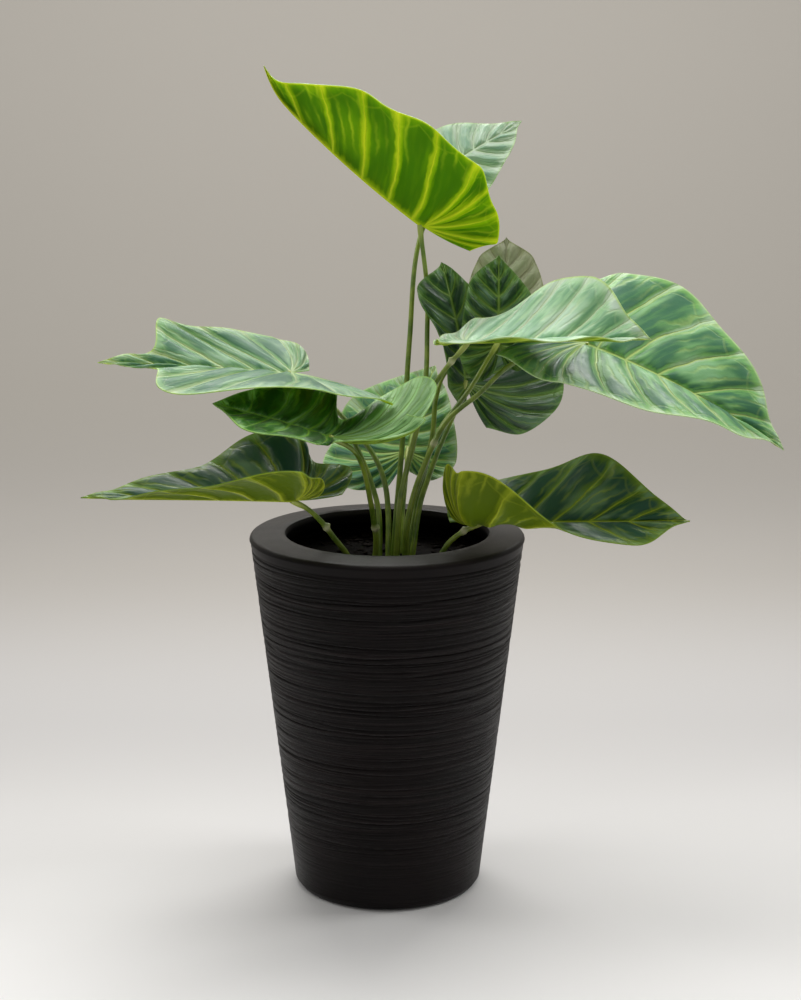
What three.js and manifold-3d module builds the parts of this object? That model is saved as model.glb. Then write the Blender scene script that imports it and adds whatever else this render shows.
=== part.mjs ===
import * as THREE from 'three';
import { mergeVertices } from 'three/addons/utils/BufferGeometryUtils.js';
import Module from 'manifold-3d';

// Driving dimensions, in millimetres. Origin: centre of the pot's foot, +Z up, +Y to the back.
const POT_HEIGHT = 334;
const RIM_RADIUS = 125;
const FOOT_RADIUS = 85.5;
const MOUTH_RADIUS = 92;
const LIP_THICKNESS = 16;
const RIM_FALL = 2;
const RIM_ROUNDING = 4;
const FOOT_ROUNDING = 6;
const CAVITY_TOP_RADIUS = 112;
const CAVITY_FLOOR_RADIUS = 74;
const FLOOR_THICKNESS = 14;
const RIDGE_COUNT = 27;
const RIDGE_DEPTH = 1.3;
const RIDGE_WANDER = 1.5;
const PLAIN_BAND = 14;
const SMOOTH_FOOT = 36;
const POT_SEGMENTS = 36;

const SOIL_LEVEL = 306;
const SOIL_BOTTOM = 15;
const SOIL_LUMP = 2.2;
const SEAT_GAP = 0.3;
const SEAT_DROP = 1.8;

const BLADE_THICKNESS = 1.2;
const BLADE_RIBS = 18;
const BLADE_STEPS = 4;
const SPINE_SHARE = 0.55;
const SPINE_CURVE = 1.2;
const RIB_BOW = 0.16;
const HOOK_START = 0.82;

const STALK_SIDES = 8;
const STALK_STEPS = 10;
const STALK_FOOT_RADIUS = 2.7;
const STALK_TOP_RADIUS = 2;
const KNEE_RADIUS = 2.6;
const KNEE_LENGTH = 16;
const FOOT_DEPTH = 14;
const FOOT_RISE = 3;

const rad = (degrees) => (degrees * Math.PI) / 180;
const mix = (a, b, t) => a + (b - a) * t;
const clamp01 = (t) => Math.min(1, Math.max(0, t));
const smooth = (t) => clamp01(t) ** 2 * (3 - 2 * clamp01(t));
const vec = (xyz) => new THREE.Vector3(...xyz);

const wasm = await Module();
wasm.setup();

// Closed meshes from plain vertex and triangle lists.
function meshGeometry(points, triangles) {
  const geometry = new THREE.BufferGeometry();
  const flat = points.flatMap((p) => [p.x, p.y, p.z]);
  geometry.setAttribute('position', new THREE.Float32BufferAttribute(flat, 3));
  geometry.setIndex(triangles.flat());
  return geometry;
}

function toSolid(geometry) {
  const clean = geometry.clone();
  clean.deleteAttribute('normal');
  clean.deleteAttribute('uv');
  const merged = mergeVertices(clean, 1e-4);
  return new wasm.Manifold(new wasm.Mesh({
    numProp: 3,
    vertProperties: new Float32Array(merged.attributes.position.array),
    triVerts: new Uint32Array(merged.index.array),
  }));
}

function toGeometry(solid) {
  const mesh = solid.getMesh();
  const geometry = new THREE.BufferGeometry();
  geometry.setAttribute('position', new THREE.Float32BufferAttribute(mesh.vertProperties, 3));
  geometry.setIndex(Array.from(mesh.triVerts));
  return geometry;
}

function largestPiece(solid) {
  const pieces = solid.decompose();
  return pieces.reduce((best, piece) => (piece.volume() > best.volume() ? piece : best));
}

// A ring-by-ring skin: every row is a closed loop of the same count; the ends are fanned shut.
function ringSkin(rows) {
  const count = rows[0].length;
  const points = rows.flat();
  const triangles = [];
  for (let r = 0; r < rows.length - 1; r += 1) {
    for (let i = 0; i < count; i += 1) {
      const next = (i + 1) % count;
      const [a, b] = [r * count + i, r * count + next];
      const [c, d] = [a + count, b + count];
      triangles.push([a, b, d], [a, d, c]);
    }
  }
  const centre = (row) => row
    .reduce((sum, p) => sum.add(p), new THREE.Vector3())
    .divideScalar(count);
  const first = points.push(centre(rows[0])) - 1;
  const last = points.push(centre(rows.at(-1))) - 1;
  const top = (rows.length - 1) * count;
  for (let i = 0; i < count; i += 1) {
    const next = (i + 1) % count;
    triangles.push([first, next, i], [last, top + i, top + next]);
  }
  return meshGeometry(points, triangles);
}

function ringAt(radiusAt, heightAt) {
  return Array.from({ length: POT_SEGMENTS }, (_, i) => {
    const angle = (2 * Math.PI * i) / POT_SEGMENTS;
    const radius = radiusAt(angle);
    return new THREE.Vector3(radius * Math.cos(angle), radius * Math.sin(angle), heightAt(angle));
  });
}

// Pot: a tapered wall with combed, slightly wandering ridges, a broad flat lip and a deep cavity.
const wallRadius = (z) => mix(FOOT_RADIUS, RIM_RADIUS, z / POT_HEIGHT);
const cavityRadius = (z) => mix(
  CAVITY_FLOOR_RADIUS,
  CAVITY_TOP_RADIUS,
  (z - FLOOR_THICKNESS) / (POT_HEIGHT - LIP_THICKNESS - FLOOR_THICKNESS),
);

function ridgeRows() {
  const low = SMOOTH_FOOT;
  const high = POT_HEIGHT - PLAIN_BAND;
  const rows = [];
  for (let k = 0; k <= 2 * RIDGE_COUNT; k += 1) {
    const share = k / (2 * RIDGE_COUNT);
    const z = mix(low, high, share);
    const depth = RIDGE_DEPTH * smooth(share * 4) * (k % 2);
    const wander = (angle) => RIDGE_WANDER * smooth(share * 4) * smooth((1 - share) * 8)
      * (Math.sin(angle * 2 + k * 0.35) + 0.6 * Math.sin(angle * 5 - k * 0.21));
    const cut = (angle) => depth * (0.7 + 0.3 * Math.sin(angle * 3 + k * 1.9));
    rows.push(ringAt((angle) => wallRadius(z) - cut(angle), (angle) => z + wander(angle)));
  }
  return rows;
}

function potGeometry() {
  const plain = (radius, z) => ringAt(() => radius, () => z);
  const edge = RIM_ROUNDING;
  const rimZ = POT_HEIGHT - RIM_FALL;
  const under = POT_HEIGHT - LIP_THICKNESS;
  const rows = [
    plain(FOOT_RADIUS - FOOT_ROUNDING, 0),
    plain(FOOT_RADIUS - FOOT_ROUNDING * 0.35, FOOT_ROUNDING * 0.3),
    plain(wallRadius(FOOT_ROUNDING), FOOT_ROUNDING),
    ...ridgeRows(),
    plain(RIM_RADIUS, rimZ - edge),
    plain(RIM_RADIUS - edge * 0.3, rimZ - edge * 0.3),
    plain(RIM_RADIUS - edge, rimZ),
    plain(MOUTH_RADIUS + 1.5, POT_HEIGHT),
    plain(MOUTH_RADIUS, POT_HEIGHT - 1.5),
    plain(MOUTH_RADIUS, under + 3),
    plain(MOUTH_RADIUS + 4, under),
    plain(CAVITY_TOP_RADIUS - 3, under),
    plain(cavityRadius(under - 4), under - 4),
    plain(CAVITY_FLOOR_RADIUS, FLOOR_THICKNESS),
  ];
  return ringSkin(rows);
}

// Leaf blades. The outline holds, from the tip to the sinus corner, the place along the midrib
// (share of its length ahead of the stalk, share of the lobe behind it) and the share of the half
// width.
const OUTLINE = [
  [1, 0],
  [0.9, 0.14],
  [0.75, 0.42],
  [0.52, 0.72],
  [0.25, 0.93],
  [-0.1, 1],
  [-0.62, 0.9],
  [-1, 0.54],
  [-0.8, 0.14],
];

function splineAt(values, t) {
  const last = values.length - 1;
  const at = clamp01(t) * last;
  const i = Math.min(last - 1, Math.floor(at));
  const f = at - i;
  const pick = (k) => values[Math.min(last, Math.max(0, k))];
  const [a, b, c, d] = [pick(i - 1), pick(i), pick(i + 1), pick(i + 2)];
  return b + 0.5 * f * (c - a + f * (2 * a - 5 * b + 4 * c - d + f * (3 * (b - c) + d - a)));
}

// Midrib frame of a leaf: an arc over the chord from the stalk's end to the tip.
function leafFrame(leaf) {
  const base = vec(leaf.base);
  const chord = vec(leaf.tip).sub(base);
  const span = chord.length();
  const ahead = chord.normalize();
  const up = new THREE.Vector3(0, 0, 1);
  up.addScaledVector(ahead, -up.dot(ahead)).normalize();
  const left = new THREE.Vector3().crossVectors(up, ahead);
  const bend = rad(leaf.bend || 0.5);
  const length = (span * bend) / 2 / Math.sin(bend / 2);
  const start = -bend / 2;
  const arc = (s, half) => {
    const rate = s < 0 ? rad(half.droop ?? leaf.droop) / half.lobe : bend / length;
    const angle = start + rate * s;
    const along = (Math.sin(angle) - Math.sin(start)) / rate;
    const hook = (leaf.hook ?? 0) * Math.max(0, (s / length - HOOK_START) / (1 - HOOK_START)) ** 2;
    const above = (Math.cos(angle) - Math.cos(start)) / rate + hook;
    return {
      at: base.clone().addScaledVector(ahead, along).addScaledVector(up, above),
      normal: up.clone().multiplyScalar(Math.cos(angle)).addScaledVector(ahead, Math.sin(angle)),
    };
  };
  return { length, left, arc };
}

const spineShare = (v) => (v < SPINE_SHARE ? (1 - v / SPINE_SHARE) ** SPINE_CURVE : 0);

// Point of one half blade: v runs from the tip round to the sinus, j from the midrib to the margin.
function bladePoint(leaf, frame, side, v, j) {
  const half = leaf[side];
  const hand = side === 'left' ? 1 : -1;
  const shape = half.shape ?? OUTLINE;
  const outline = [0, 1].map((axis) => splineAt(shape.map((p) => p[axis]), v));
  const reach = outline[0] > 0 ? frame.length : half.lobe;
  const end = { s: outline[0] * reach, t: outline[1] * half.width };
  if (half.wide) end.t *= splineAt(half.wide, v);
  const spine = spineShare(v) * frame.length;
  const bow = RIB_BOW * 4 * j * (1 - j);
  const s = mix(spine, end.s, j) - bow * end.t * 0.5;
  const t = end.t * j + bow * (end.s - spine) * 0.5 * (v < SPINE_SHARE ? 0.3 : 0.6);
  const { at, normal } = frame.arc(s, half);
  const [lobeFold, baseFold, tipFold] = half.fold;
  const fold = rad(s < 0
    ? mix(baseFold, lobeFold, smooth(-s / half.lobe))
    : mix(baseFold, tipFold, smooth(s / frame.length)));
  const curl = rad(half.curl || 0.5) * (1 - 0.8 * smooth(s / frame.length));
  const turn = fold + curl * Math.max(0, t) / half.width;
  const scale = half.width / curl;
  const across = scale * (Math.sin(turn) - Math.sin(fold));
  const raise = scale * (Math.cos(fold) - Math.cos(turn));
  const edge = j ** 1.7;
  const lift = half.lift ? splineAt(half.lift, v) * edge : 0;
  const phase = rad(360 * leaf.waves * v + half.phase);
  const waves = leaf.ruffle * edge * j * Math.sin(phase) * smooth(v * 5);
  return at
    .addScaledVector(frame.left, hand * across)
    .addScaledVector(normal, raise + lift + waves);
}

// Grid of both halves of a blade, with shared points on the midrib and one point at the stalk.
function bladeGrid(leaf) {
  const frame = leafFrame(leaf);
  const points = [];
  const normals = [];
  const add = (point, normal) => {
    normals.push(normal);
    return points.push(point) - 1;
  };
  const spineIds = [];
  for (let i = 0; i <= BLADE_RIBS; i += 1) {
    const v = i / BLADE_RIBS;
    if (v < SPINE_SHARE || i === 0 || spineShare((i - 1) / BLADE_RIBS) > 0) {
      const { at, normal } = frame.arc(spineShare(v) * frame.length);
      spineIds.push(add(at, normal));
    } else {
      spineIds.push(spineIds.at(-1));
    }
  }
  const halves = ['left', 'right'].map((side) => {
    const ids = [];
    for (let i = 0; i <= BLADE_RIBS; i += 1) {
      const row = [spineIds[i]];
      for (let k = 1; k <= BLADE_STEPS; k += 1) {
        if (i === 0) {
          row.push(spineIds[0]);
        } else {
          row.push(add(...surfaceAt(leaf, frame, side, i / BLADE_RIBS, k / BLADE_STEPS)));
        }
      }
      ids.push(row);
    }
    return ids;
  });
  return { points, normals, halves };
}

function surfaceAt(leaf, frame, side, v, j) {
  const step = 0.02;
  const at = (a, b) => bladePoint(leaf, frame, side, a, b);
  const [v0, v1] = [Math.max(0.01, v - step), Math.min(1, v + step)];
  const [j0, j1] = [Math.max(0.05, j - step), Math.min(1, j + step)];
  const alongEdge = at(v1, j).sub(at(v0, j));
  const outward = at(v, j1).sub(at(v, j0));
  const normal = new THREE.Vector3().crossVectors(alongEdge, outward).normalize();
  return [at(v, j), side === 'left' ? normal.negate() : normal];
}

function bladeGeometry(leaf, thickness = BLADE_THICKNESS) {
  const { points, normals, halves } = bladeGrid(leaf);
  const count = points.length;
  const skin = [1, -1].flatMap((face) => points.map(
    (p, i) => p.clone().addScaledVector(normals[i], (face * thickness) / 2),
  ));
  const triangles = [];
  const addBoth = (a, b, c, flip) => {
    if (a === b || b === c || a === c) return;
    const top = flip ? [a, c, b] : [a, b, c];
    triangles.push(top, [top[0] + count, top[2] + count, top[1] + count]);
  };
  const addRim = (a, b, flip) => {
    if (a === b) return;
    const [p, q] = flip ? [b, a] : [a, b];
    triangles.push([p, p + count, q + count], [p, q + count, q]);
  };
  halves.forEach((ids, index) => {
    const flip = index === 1;
    for (let i = 0; i < BLADE_RIBS; i += 1) {
      for (let k = 0; k < BLADE_STEPS; k += 1) {
        const [a, b] = [ids[i][k], ids[i + 1][k]];
        const [c, d] = [ids[i][k + 1], ids[i + 1][k + 1]];
        addBoth(a, c, d, flip);
        addBoth(a, d, b, flip);
      }
      addRim(ids[i][BLADE_STEPS], ids[i + 1][BLADE_STEPS], flip);
    }
    for (let k = BLADE_STEPS; k > 0; k -= 1) {
      addRim(ids[BLADE_RIBS][k], ids[BLADE_RIBS][k - 1], flip);
    }
  });
  return meshGeometry(skin, triangles);
}

// Leaves. base is the stalk's end and tip the end of the midrib; bend arches the midrib and droop
// hangs the lobes, in degrees. ruffle is the height of the waves in the margin, in mm, and waves is
// their number.
// fold holds the rise of a half blade above the level across the midrib, in degrees,
// at the end of the lobe, at the stalk and at the tip; curl adds to it towards the margin.
// shape is an outline of the half's own. lift raises the margin, in mm, and wide scales the half
// width, both at even steps from the tip round to the sinus. hook turns up the midrib's end, in mm.
const LEAVES = {
  top: {
    base: [32.5, 60, 604], tip: [-114, 30, 741],
    bend: -12, droop: 4, ruffle: 1.6, waves: 6.5, hook: 9,
    left: {
      width: 90, lobe: 60, fold: [62, 60, 66], curl: 6, phase: 60,
      wide: [0.46, 0.82, 1.17, 1.02, 0.95, 0.86, 0.7, 0.72, 0.9],
    },
    right: { width: 62, lobe: 44, fold: [55, 55, 55], curl: 4, phase: 0 },
    stalk: {
      foot: [9, 5],
      way: [[12, 8, 361], [25, 22, 414], [35, 40, 462], [37, 60, 506], [37, 69, 545]],
    },
  },
  top_back: {
    base: [57, 118, 654], tip: [127, 150, 694], bend: 6, droop: 4, ruffle: 1.5, waves: 3,
    left: { width: 44, lobe: 30, fold: [44, 42, 24], curl: 0, phase: 0 },
    right: { width: 42, lobe: 30, fold: [-60, -52, -28], curl: -10, phase: 0 },
    stalk: {
      foot: [6, 14],
      way: [[8, 18, 340], [12, 26, 385], [17, 44, 447], [21, 62, 501], [30, 94, 587]],
    },
  },
  right_big: {
    base: [176, -15, 508], tip: [347, -60, 420], bend: 16, droop: 34, ruffle: 2.5, waves: 4,
    left: {
      width: 99, lobe: 56, fold: [-6, 34, 52], curl: 0, phase: 60,
      wide: [1, 1, 1, 1.06, 1.14, 0.98, 0.9, 0.9, 1],
    },
    right: {
      width: 90, lobe: 74, fold: [-10, -16, 0], curl: 0, phase: 0,
      lift: [0, 0, -3, -3, 0, 0, 0, 0, 0],
    },
    stalk: {
      foot: [16, -6],
      way: [
        [17, -6, 336], [22, -5, 361], [31, -4, 389], [54, 0, 435], [83, 2, 460], [109, 5, 484],
        [145, 0, 503],
      ],
    },
  },
  right_front: {
    base: [69, -22, 510], tip: [227, -75, 520], bend: 2, droop: 6, ruffle: 2.2, waves: 5,
    left: {
      width: 82, lobe: 30, fold: [-6, 2, 60], curl: 0, phase: -24,
      wide: [0.62, 0.81, 1.01, 1.04, 0.9, 0.72, 0.66, 0.62, 0.43],
      lift: [-0.5, 8, 15, 17.6, 16, 11, 10, 5, 1],
    },
    right: {
      width: 80, lobe: 16, fold: [9, 8, 8], curl: 0, phase: 0,
      wide: [1, 1, 1, 1, 1, 0.9, 0.8, 0.8, 1],
    },
    stalk: {
      foot: [8, -14],
      way: [[12, -14, 366], [19, -14, 400], [28, -14, 434], [40, -15, 466], [51, -17, 484]],
    },
  },
  back_right: {
    base: [102, 42, 498], tip: [103, 77, 576], bend: 10, droop: 4, ruffle: 2, waves: 3,
    left: {
      width: 36, lobe: 34, fold: [0, 0, 10], curl: 0, phase: 0,
      wide: [1, 1.7, 1.55, 1.15, 1, 1, 1, 1, 1],
    },
    right: {
      width: 42, lobe: 24, fold: [0, 0, 10], curl: 0, phase: 0,
      wide: [1, 1, 1, 1, 0.85, 0.75, 0.75, 0.8, 1],
    },
    stalk: {
      foot: [17, 3],
      way: [[19, 4, 343], [30, 8, 379], [48, 17, 424], [62, 20, 443], [75, 24, 460], [93, 34, 488]],
    },
  },
  back_centre: {
    base: [73, 50, 461], tip: [50, 80, 569], bend: 20, droop: 4, ruffle: 2, waves: 3,
    left: {
      width: 42, lobe: 20, fold: [-5, -5, 0], curl: 0, phase: 0,
      wide: [1, 3.4, 2, 0.95, 0.5, 0.45, 0.4, 0.3, 0.3],
    },
    right: {
      width: 118, lobe: 54, fold: [0, 0, 20], curl: 0, phase: 0,
      wide: [1, 0.6, 0.5, 0.75, 0.9, 1, 1, 1, 1.2],
    },
    stalk: {
      foot: [23, 9],
      way: [[30, 18, 354], [37, 22, 376], [47, 28, 403], [57, 38, 424], [66, 48, 443]],
    },
  },
  far_back: {
    base: [113, 140, 483], tip: [115, 170, 583], bend: 10, droop: 4, ruffle: 2, waves: 3,
    left: {
      width: 46, lobe: 24, fold: [0, 0, 0], curl: 0, phase: 0,
      wide: [1, 2.2, 1.5, 1.1, 1, 1, 1, 1, 1],
    },
    right: {
      width: 46, lobe: 24, fold: [0, 0, 0], curl: 0, phase: 0,
      wide: [1, 2.2, 1.5, 1.1, 1, 1, 1, 1, 1],
    },
    stalk: {
      foot: [20, 18],
      way: [
        [26, 26, 345], [34, 34, 380], [42, 44, 415], [45, 56, 445], [54, 78, 466],
        [82, 108, 478],
      ],
    },
  },
  left_upper: {
    base: [-86, 10, 478], tip: [-251, -54, 497], bend: 4, droop: 8, ruffle: 2, waves: 4,
    left: {
      width: 86, lobe: 82, fold: [-5, -2, -22], curl: 0, phase: 0,
      shape: [
        [1, 0], [0.89, 0.05], [0.72, 0.1], [0.75, 0.54], [0.5, 0.75], [0.05, 0.98],
        [-0.45, 1.04], [-0.85, 0.94], [-0.76, 0.74],
      ],
    },
    right: {
      width: 70, lobe: 25, fold: [20, 20, 44], curl: 0, phase: 0,
      shape: [
        [1, 0], [0.84, 0.15], [0.7, 0.28], [0.63, 0.84], [0.42, 0.84], [0.05, 0.98],
        [-0.62, 0.9], [-1, 0.54], [-0.8, 0.14],
      ],
    },
    stalk: {
      foot: [1, -4],
      way: [[1, 4, 350], [-2, 8, 376], [-10, 14, 397], [-26, 24, 418], [-51, 26, 445]],
    },
  },
  left_middle: {
    base: [-47, -75, 435], tip: [-152, -55, 461], bend: 8, ruffle: 2, waves: 3,
    left: {
      width: 68, lobe: 92, droop: -64, fold: [-16, 3, -8], curl: 0, phase: 0,
      lift: [0, 0, 0, 0, 0, 2, 5, 8, 16],
      shape: [
        [1, 0], [0.85, 0.27], [0.62, 0.66], [0.32, 0.9], [0.05, 0.8], [-0.08, 0.26],
        [-0.42, 0.3], [-1, 0.38], [-0.86, 0.12],
      ],
    },
    right: {
      width: 76, lobe: 98, droop: -36, fold: [22, 15, 20], curl: 0, phase: 0,
      lift: [0, 2, 4, 6, 2, 12, 20, 24, 14],
      shape: [
        [1, 0], [0.8, 0.35], [0.45, 0.9], [0.2, 0.95], [0.02, 0.4], [-0.26, 0.92], [-0.7, 1],
        [-1, 0.66], [-0.8, 0.16],
      ],
    },
    stalk: {
      foot: [-11, -12],
      way: [[-10, -18, 330], [-15, -34, 370], [-22, -54, 406], [-30, -66, 422]],
    },
  },
  left_back: {
    base: [-100, 60, 458], tip: [-165, 100, 470], bend: 10, droop: 6, ruffle: 1.5, waves: 3,
    left: { width: 40, lobe: 26, fold: [6, 6, 6], curl: 0, phase: 0 },
    right: { width: 40, lobe: 26, fold: [6, 6, 6], curl: 0, phase: 0 },
    stalk: {
      foot: [-7, 2],
      way: [[-8, 10, 351], [-15, 18, 376], [-24, 24, 398], [-38, 34, 423], [-52, 44, 431]],
    },
  },
  centre_back: {
    base: [19, 75, 393], tip: [46, 110, 468], bend: 20, droop: 4, ruffle: 2, waves: 3,
    left: {
      width: 97, lobe: 44, fold: [0, 0, 10], curl: 0, phase: 0,
      wide: [1, 1, 1, 1, 0.95, 0.94, 1.05, 1.1, 1],
    },
    right: { width: 46, lobe: 24, fold: [-30, -30, -10], curl: 0, phase: 0 },
    stalk: { foot: [13, 24], way: [[14, 36, 340], [17, 50, 370]] },
  },
  left_low: {
    base: [-80, -80, 380], tip: [-263, -100, 387], bend: 2, droop: 2, ruffle: 2, waves: 4,
    left: {
      width: 80, lobe: 22, fold: [34, 29, 12], curl: 0, phase: 0,
      wide: [1, 1, 1, 1, 1, 0.95, 0.8, 0.8, 1],
    },
    right: {
      width: 88, lobe: 52, fold: [30, 33, 12], curl: 0, phase: 0,
      shape: [
        [1, 0], [0.9, 0.14], [0.75, 0.36], [0.46, 0.52], [0.2, 0.95], [-0.18, 0.92],
        [-0.38, 0.55], [-0.98, 0.5], [-0.8, 0.12],
      ],
    },
    stalk: {
      foot: [-29, -38],
      way: [[-37, -46, 325], [-46, -54, 339], [-58, -62, 357], [-70, -72, 371]],
    },
  },
  right_low: {
    base: [81, -50, 353], tip: [261, -100, 366], bend: 2, droop: 2, ruffle: 3.2, waves: 4,
    left: {
      width: 72, lobe: 36, fold: [10, 14, 44], curl: 0, phase: -48,
      lift: [-1.5, 3, 13.6, 23, 13.6, 0, 0, 0, 0],
    },
    right: { width: 84, lobe: 22, fold: [22, -8, -36], curl: 115, phase: 0 },
    stalk: { foot: [42, -42], way: [[50, -48, 327], [57, -50, 337], [71, -50, 347]] },
  },
};

// Leaf stalks: tapered tubes from the soil to the blade, with a swollen knee under it.
function stalkRadius(share, length) {
  const knee = smooth(1 - Math.abs((1 - share) * length - KNEE_LENGTH * 0.45) / (KNEE_LENGTH * 0.75));
  return mix(mix(STALK_FOOT_RADIUS, STALK_TOP_RADIUS, share), KNEE_RADIUS, knee);
}

function stalkGeometry(leaf) {
  const [x, y] = leaf.stalk.foot;
  const frame = leafFrame(leaf);
  const top = frame.arc(3);
  const route = [
    new THREE.Vector3(x, y, SOIL_LEVEL + FOOT_RISE),
    ...leaf.stalk.way.map(vec),
    top.at.addScaledVector(top.normal, -SEAT_DROP),
  ];
  const curve = new THREE.CatmullRomCurve3(route, false, 'centripetal');
  const length = curve.getLength();
  const side = new THREE.Vector3(1, 0, 0);
  const ring = (centre, ahead, radius) => {
    side.addScaledVector(ahead, -side.dot(ahead)).normalize();
    const other = new THREE.Vector3().crossVectors(ahead, side);
    return Array.from({ length: STALK_SIDES }, (_, k) => {
      const angle = (2 * Math.PI * k) / STALK_SIDES;
      return centre.clone()
        .addScaledVector(side, radius * Math.cos(angle))
        .addScaledVector(other, radius * Math.sin(angle));
    });
  };
  const upright = new THREE.Vector3(0, 0, 1);
  const rows = [ring(new THREE.Vector3(x, y, SOIL_LEVEL - FOOT_DEPTH), upright, STALK_FOOT_RADIUS)];
  for (let i = 0; i <= STALK_STEPS; i += 1) {
    const share = i / STALK_STEPS;
    const ahead = i === 0 ? upright : curve.getTangentAt(share);
    rows.push(ring(curve.getPointAt(share), ahead, stalkRadius(share, length)));
  }
  return ringSkin(rows);
}

function seatedStalk(leaf) {
  const clearance = toSolid(bladeGeometry(leaf, BLADE_THICKNESS + 2 * SEAT_GAP));
  return toGeometry(largestPiece(toSolid(stalkGeometry(leaf)).subtract(clearance)));
}

// Soil: a plug that fills the cavity, with a lumpy surface and a plain hole for each stalk.
function soilGeometry() {
  const radius = cavityRadius(SOIL_LEVEL) - SEAT_GAP;
  const lump = (x, y) => SOIL_LUMP * (1 - Math.hypot(x, y) / radius)
    * (Math.sin(x * 0.11 + 1) * Math.cos(y * 0.13) + 0.5 * Math.sin(x * 0.23 - y * 0.19));
  const ring = (share) => ringAt(() => radius * share, (angle) => SOIL_LEVEL
    + lump(radius * share * Math.cos(angle), radius * share * Math.sin(angle)));
  const bottom = ringAt(() => cavityRadius(SOIL_BOTTOM) - SEAT_GAP, () => SOIL_BOTTOM);
  const rows = [bottom, ring(1), ring(0.8), ring(0.6), ring(0.4), ring(0.2)];
  const holeRadius = STALK_FOOT_RADIUS + SEAT_GAP + 0.1;
  const holes = Object.values(LEAVES).map(({ stalk }) => {
    const hole = new THREE.CylinderGeometry(holeRadius, holeRadius, FOOT_DEPTH * 2, STALK_SIDES);
    hole.rotateX(Math.PI / 2);
    hole.rotateZ(Math.PI / 2);
    hole.translate(stalk.foot[0], stalk.foot[1], SOIL_LEVEL - SEAT_GAP);
    return toSolid(hole);
  });
  return toGeometry(largestPiece(toSolid(ringSkin(rows)).subtract(wasm.Manifold.union(holes))));
}

const FINISHES = {
  pot: { color: 0x262223, roughness: 0.62, metalness: 0 },
  soil: { color: 0x120e0b, roughness: 1, metalness: 0 },
  blade: { color: 0x4c7a3c, roughness: 0.55, metalness: 0 },
  stalk: { color: 0x6d7f3a, roughness: 0.6, metalness: 0 },
};

const plant = new THREE.Group();

function addPart(name, geometry, finish) {
  const mesh = new THREE.Mesh(geometry, new THREE.MeshStandardMaterial(finish));
  mesh.name = name;
  plant.add(mesh);
}

addPart('pot', potGeometry(), FINISHES.pot);
addPart('soil', soilGeometry(), FINISHES.soil);
for (const [name, leaf] of Object.entries(LEAVES)) {
  addPart(`blade_${name}`, bladeGeometry(leaf), FINISHES.blade);
  addPart(`stalk_${name}`, seatedStalk(leaf), FINISHES.stalk);
}

export default plant;
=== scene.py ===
"""A potted heart-leaved house plant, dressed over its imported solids.

The blades, stalks, pot and soil keep the forms of the solids they stand for, on finer meshes, and get
veins, quilting, combed grooves, potting mix and procedural materials. Lengths of the plant and the pot
are in millimetres, angles in degrees and the tints of the finishes in display steps of 255; every
mesh, and the stage, is in metres.
"""

import logging
import math
from dataclasses import dataclass
from enum import Enum
from typing import Callable, Optional, Sequence, Union

import bpy
import numpy as np
from mathutils import Matrix, Vector


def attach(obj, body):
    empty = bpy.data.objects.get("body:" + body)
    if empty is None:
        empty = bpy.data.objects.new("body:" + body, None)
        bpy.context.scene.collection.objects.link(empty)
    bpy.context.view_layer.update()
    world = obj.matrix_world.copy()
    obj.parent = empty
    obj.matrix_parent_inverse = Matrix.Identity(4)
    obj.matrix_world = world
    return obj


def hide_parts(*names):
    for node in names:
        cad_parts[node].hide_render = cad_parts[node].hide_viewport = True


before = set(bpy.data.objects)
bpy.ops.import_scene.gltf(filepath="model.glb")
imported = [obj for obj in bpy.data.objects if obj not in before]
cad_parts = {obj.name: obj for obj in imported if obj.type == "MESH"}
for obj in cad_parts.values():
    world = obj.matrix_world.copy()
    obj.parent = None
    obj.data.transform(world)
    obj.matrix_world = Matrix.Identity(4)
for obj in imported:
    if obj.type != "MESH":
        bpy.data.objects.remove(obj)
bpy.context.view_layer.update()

LOG = logging.getLogger("plant")

MM = 0.001
FULL_TURN = 2 * math.pi
ROOT_BODY = "root"

POT_HEIGHT = 334
RIM_RADIUS = 125
FOOT_RADIUS = 85.5
MOUTH_RADIUS = 92
LIP_THICKNESS = 16
RIM_FALL = 2
RIM_ROUNDING = 4
FOOT_ROUNDING = 6
CAVITY_TOP_RADIUS = 112
CAVITY_FLOOR_RADIUS = 74
FLOOR_THICKNESS = 14
PLAIN_BAND = 14
SMOOTH_FOOT = 36

SOIL_LEVEL = 306
SOIL_BOTTOM = 15
SEAT_GAP = 0.3
FOOT_DEPTH = 14
FOOT_RISE = 3

# The ribs of a blade: where they leave the midrib, and how they bow forwards.
SPINE_SHARE = 0.55
SPINE_CURVE = 1.2
RIB_BOW = 0.16
BOW_AHEAD = 0.3
BOW_BEHIND = 0.6

# The form of a blade: its least bend and curl, its hooked tip, and what its margin does.
LEAST_BEND = 0.5
HOOK_START = 0.82
CURL_FADE = 0.8
EDGE_POWER = 1.7
TIP_CALM = 5

STALK_FOOT_RADIUS = 2.7
STALK_TOP_RADIUS = 2
KNEE_RADIUS = 2.6
KNEE_LENGTH = 16
KNEE_MIDDLE = 0.45
KNEE_REACH = 0.75
STALK_SEAT = 3.0

BLADE_FACTS = "leaf_mm"
STALK_FACTS = "stalk_mm"
CELL_MAP = "Cells"
JOIN_REACH = 1e-6

# The colour sockets of a Mix node.
MIX_BELOW = 6
MIX_ABOVE = 7
MIX_RESULT = 2

Array = np.ndarray
Amount = Union[float, Array]
Span = tuple[float, float]
Colour = tuple[float, float, float]
Place = tuple[float, float, float]
Tint = tuple[int, int, int]
Piece = bpy.types.Object
Socket = bpy.types.NodeSocket
Wired = Union[Socket, float, Tint, Place]


def linear(tint: Tint) -> Colour:
    """Return a display colour as linear red, green and blue."""
    steps = (step / 255 for step in tint)
    return tuple(c / 12.92 if c <= 0.04045 else ((c + 0.055) / 1.055) ** 2.4 for c in steps)


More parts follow.
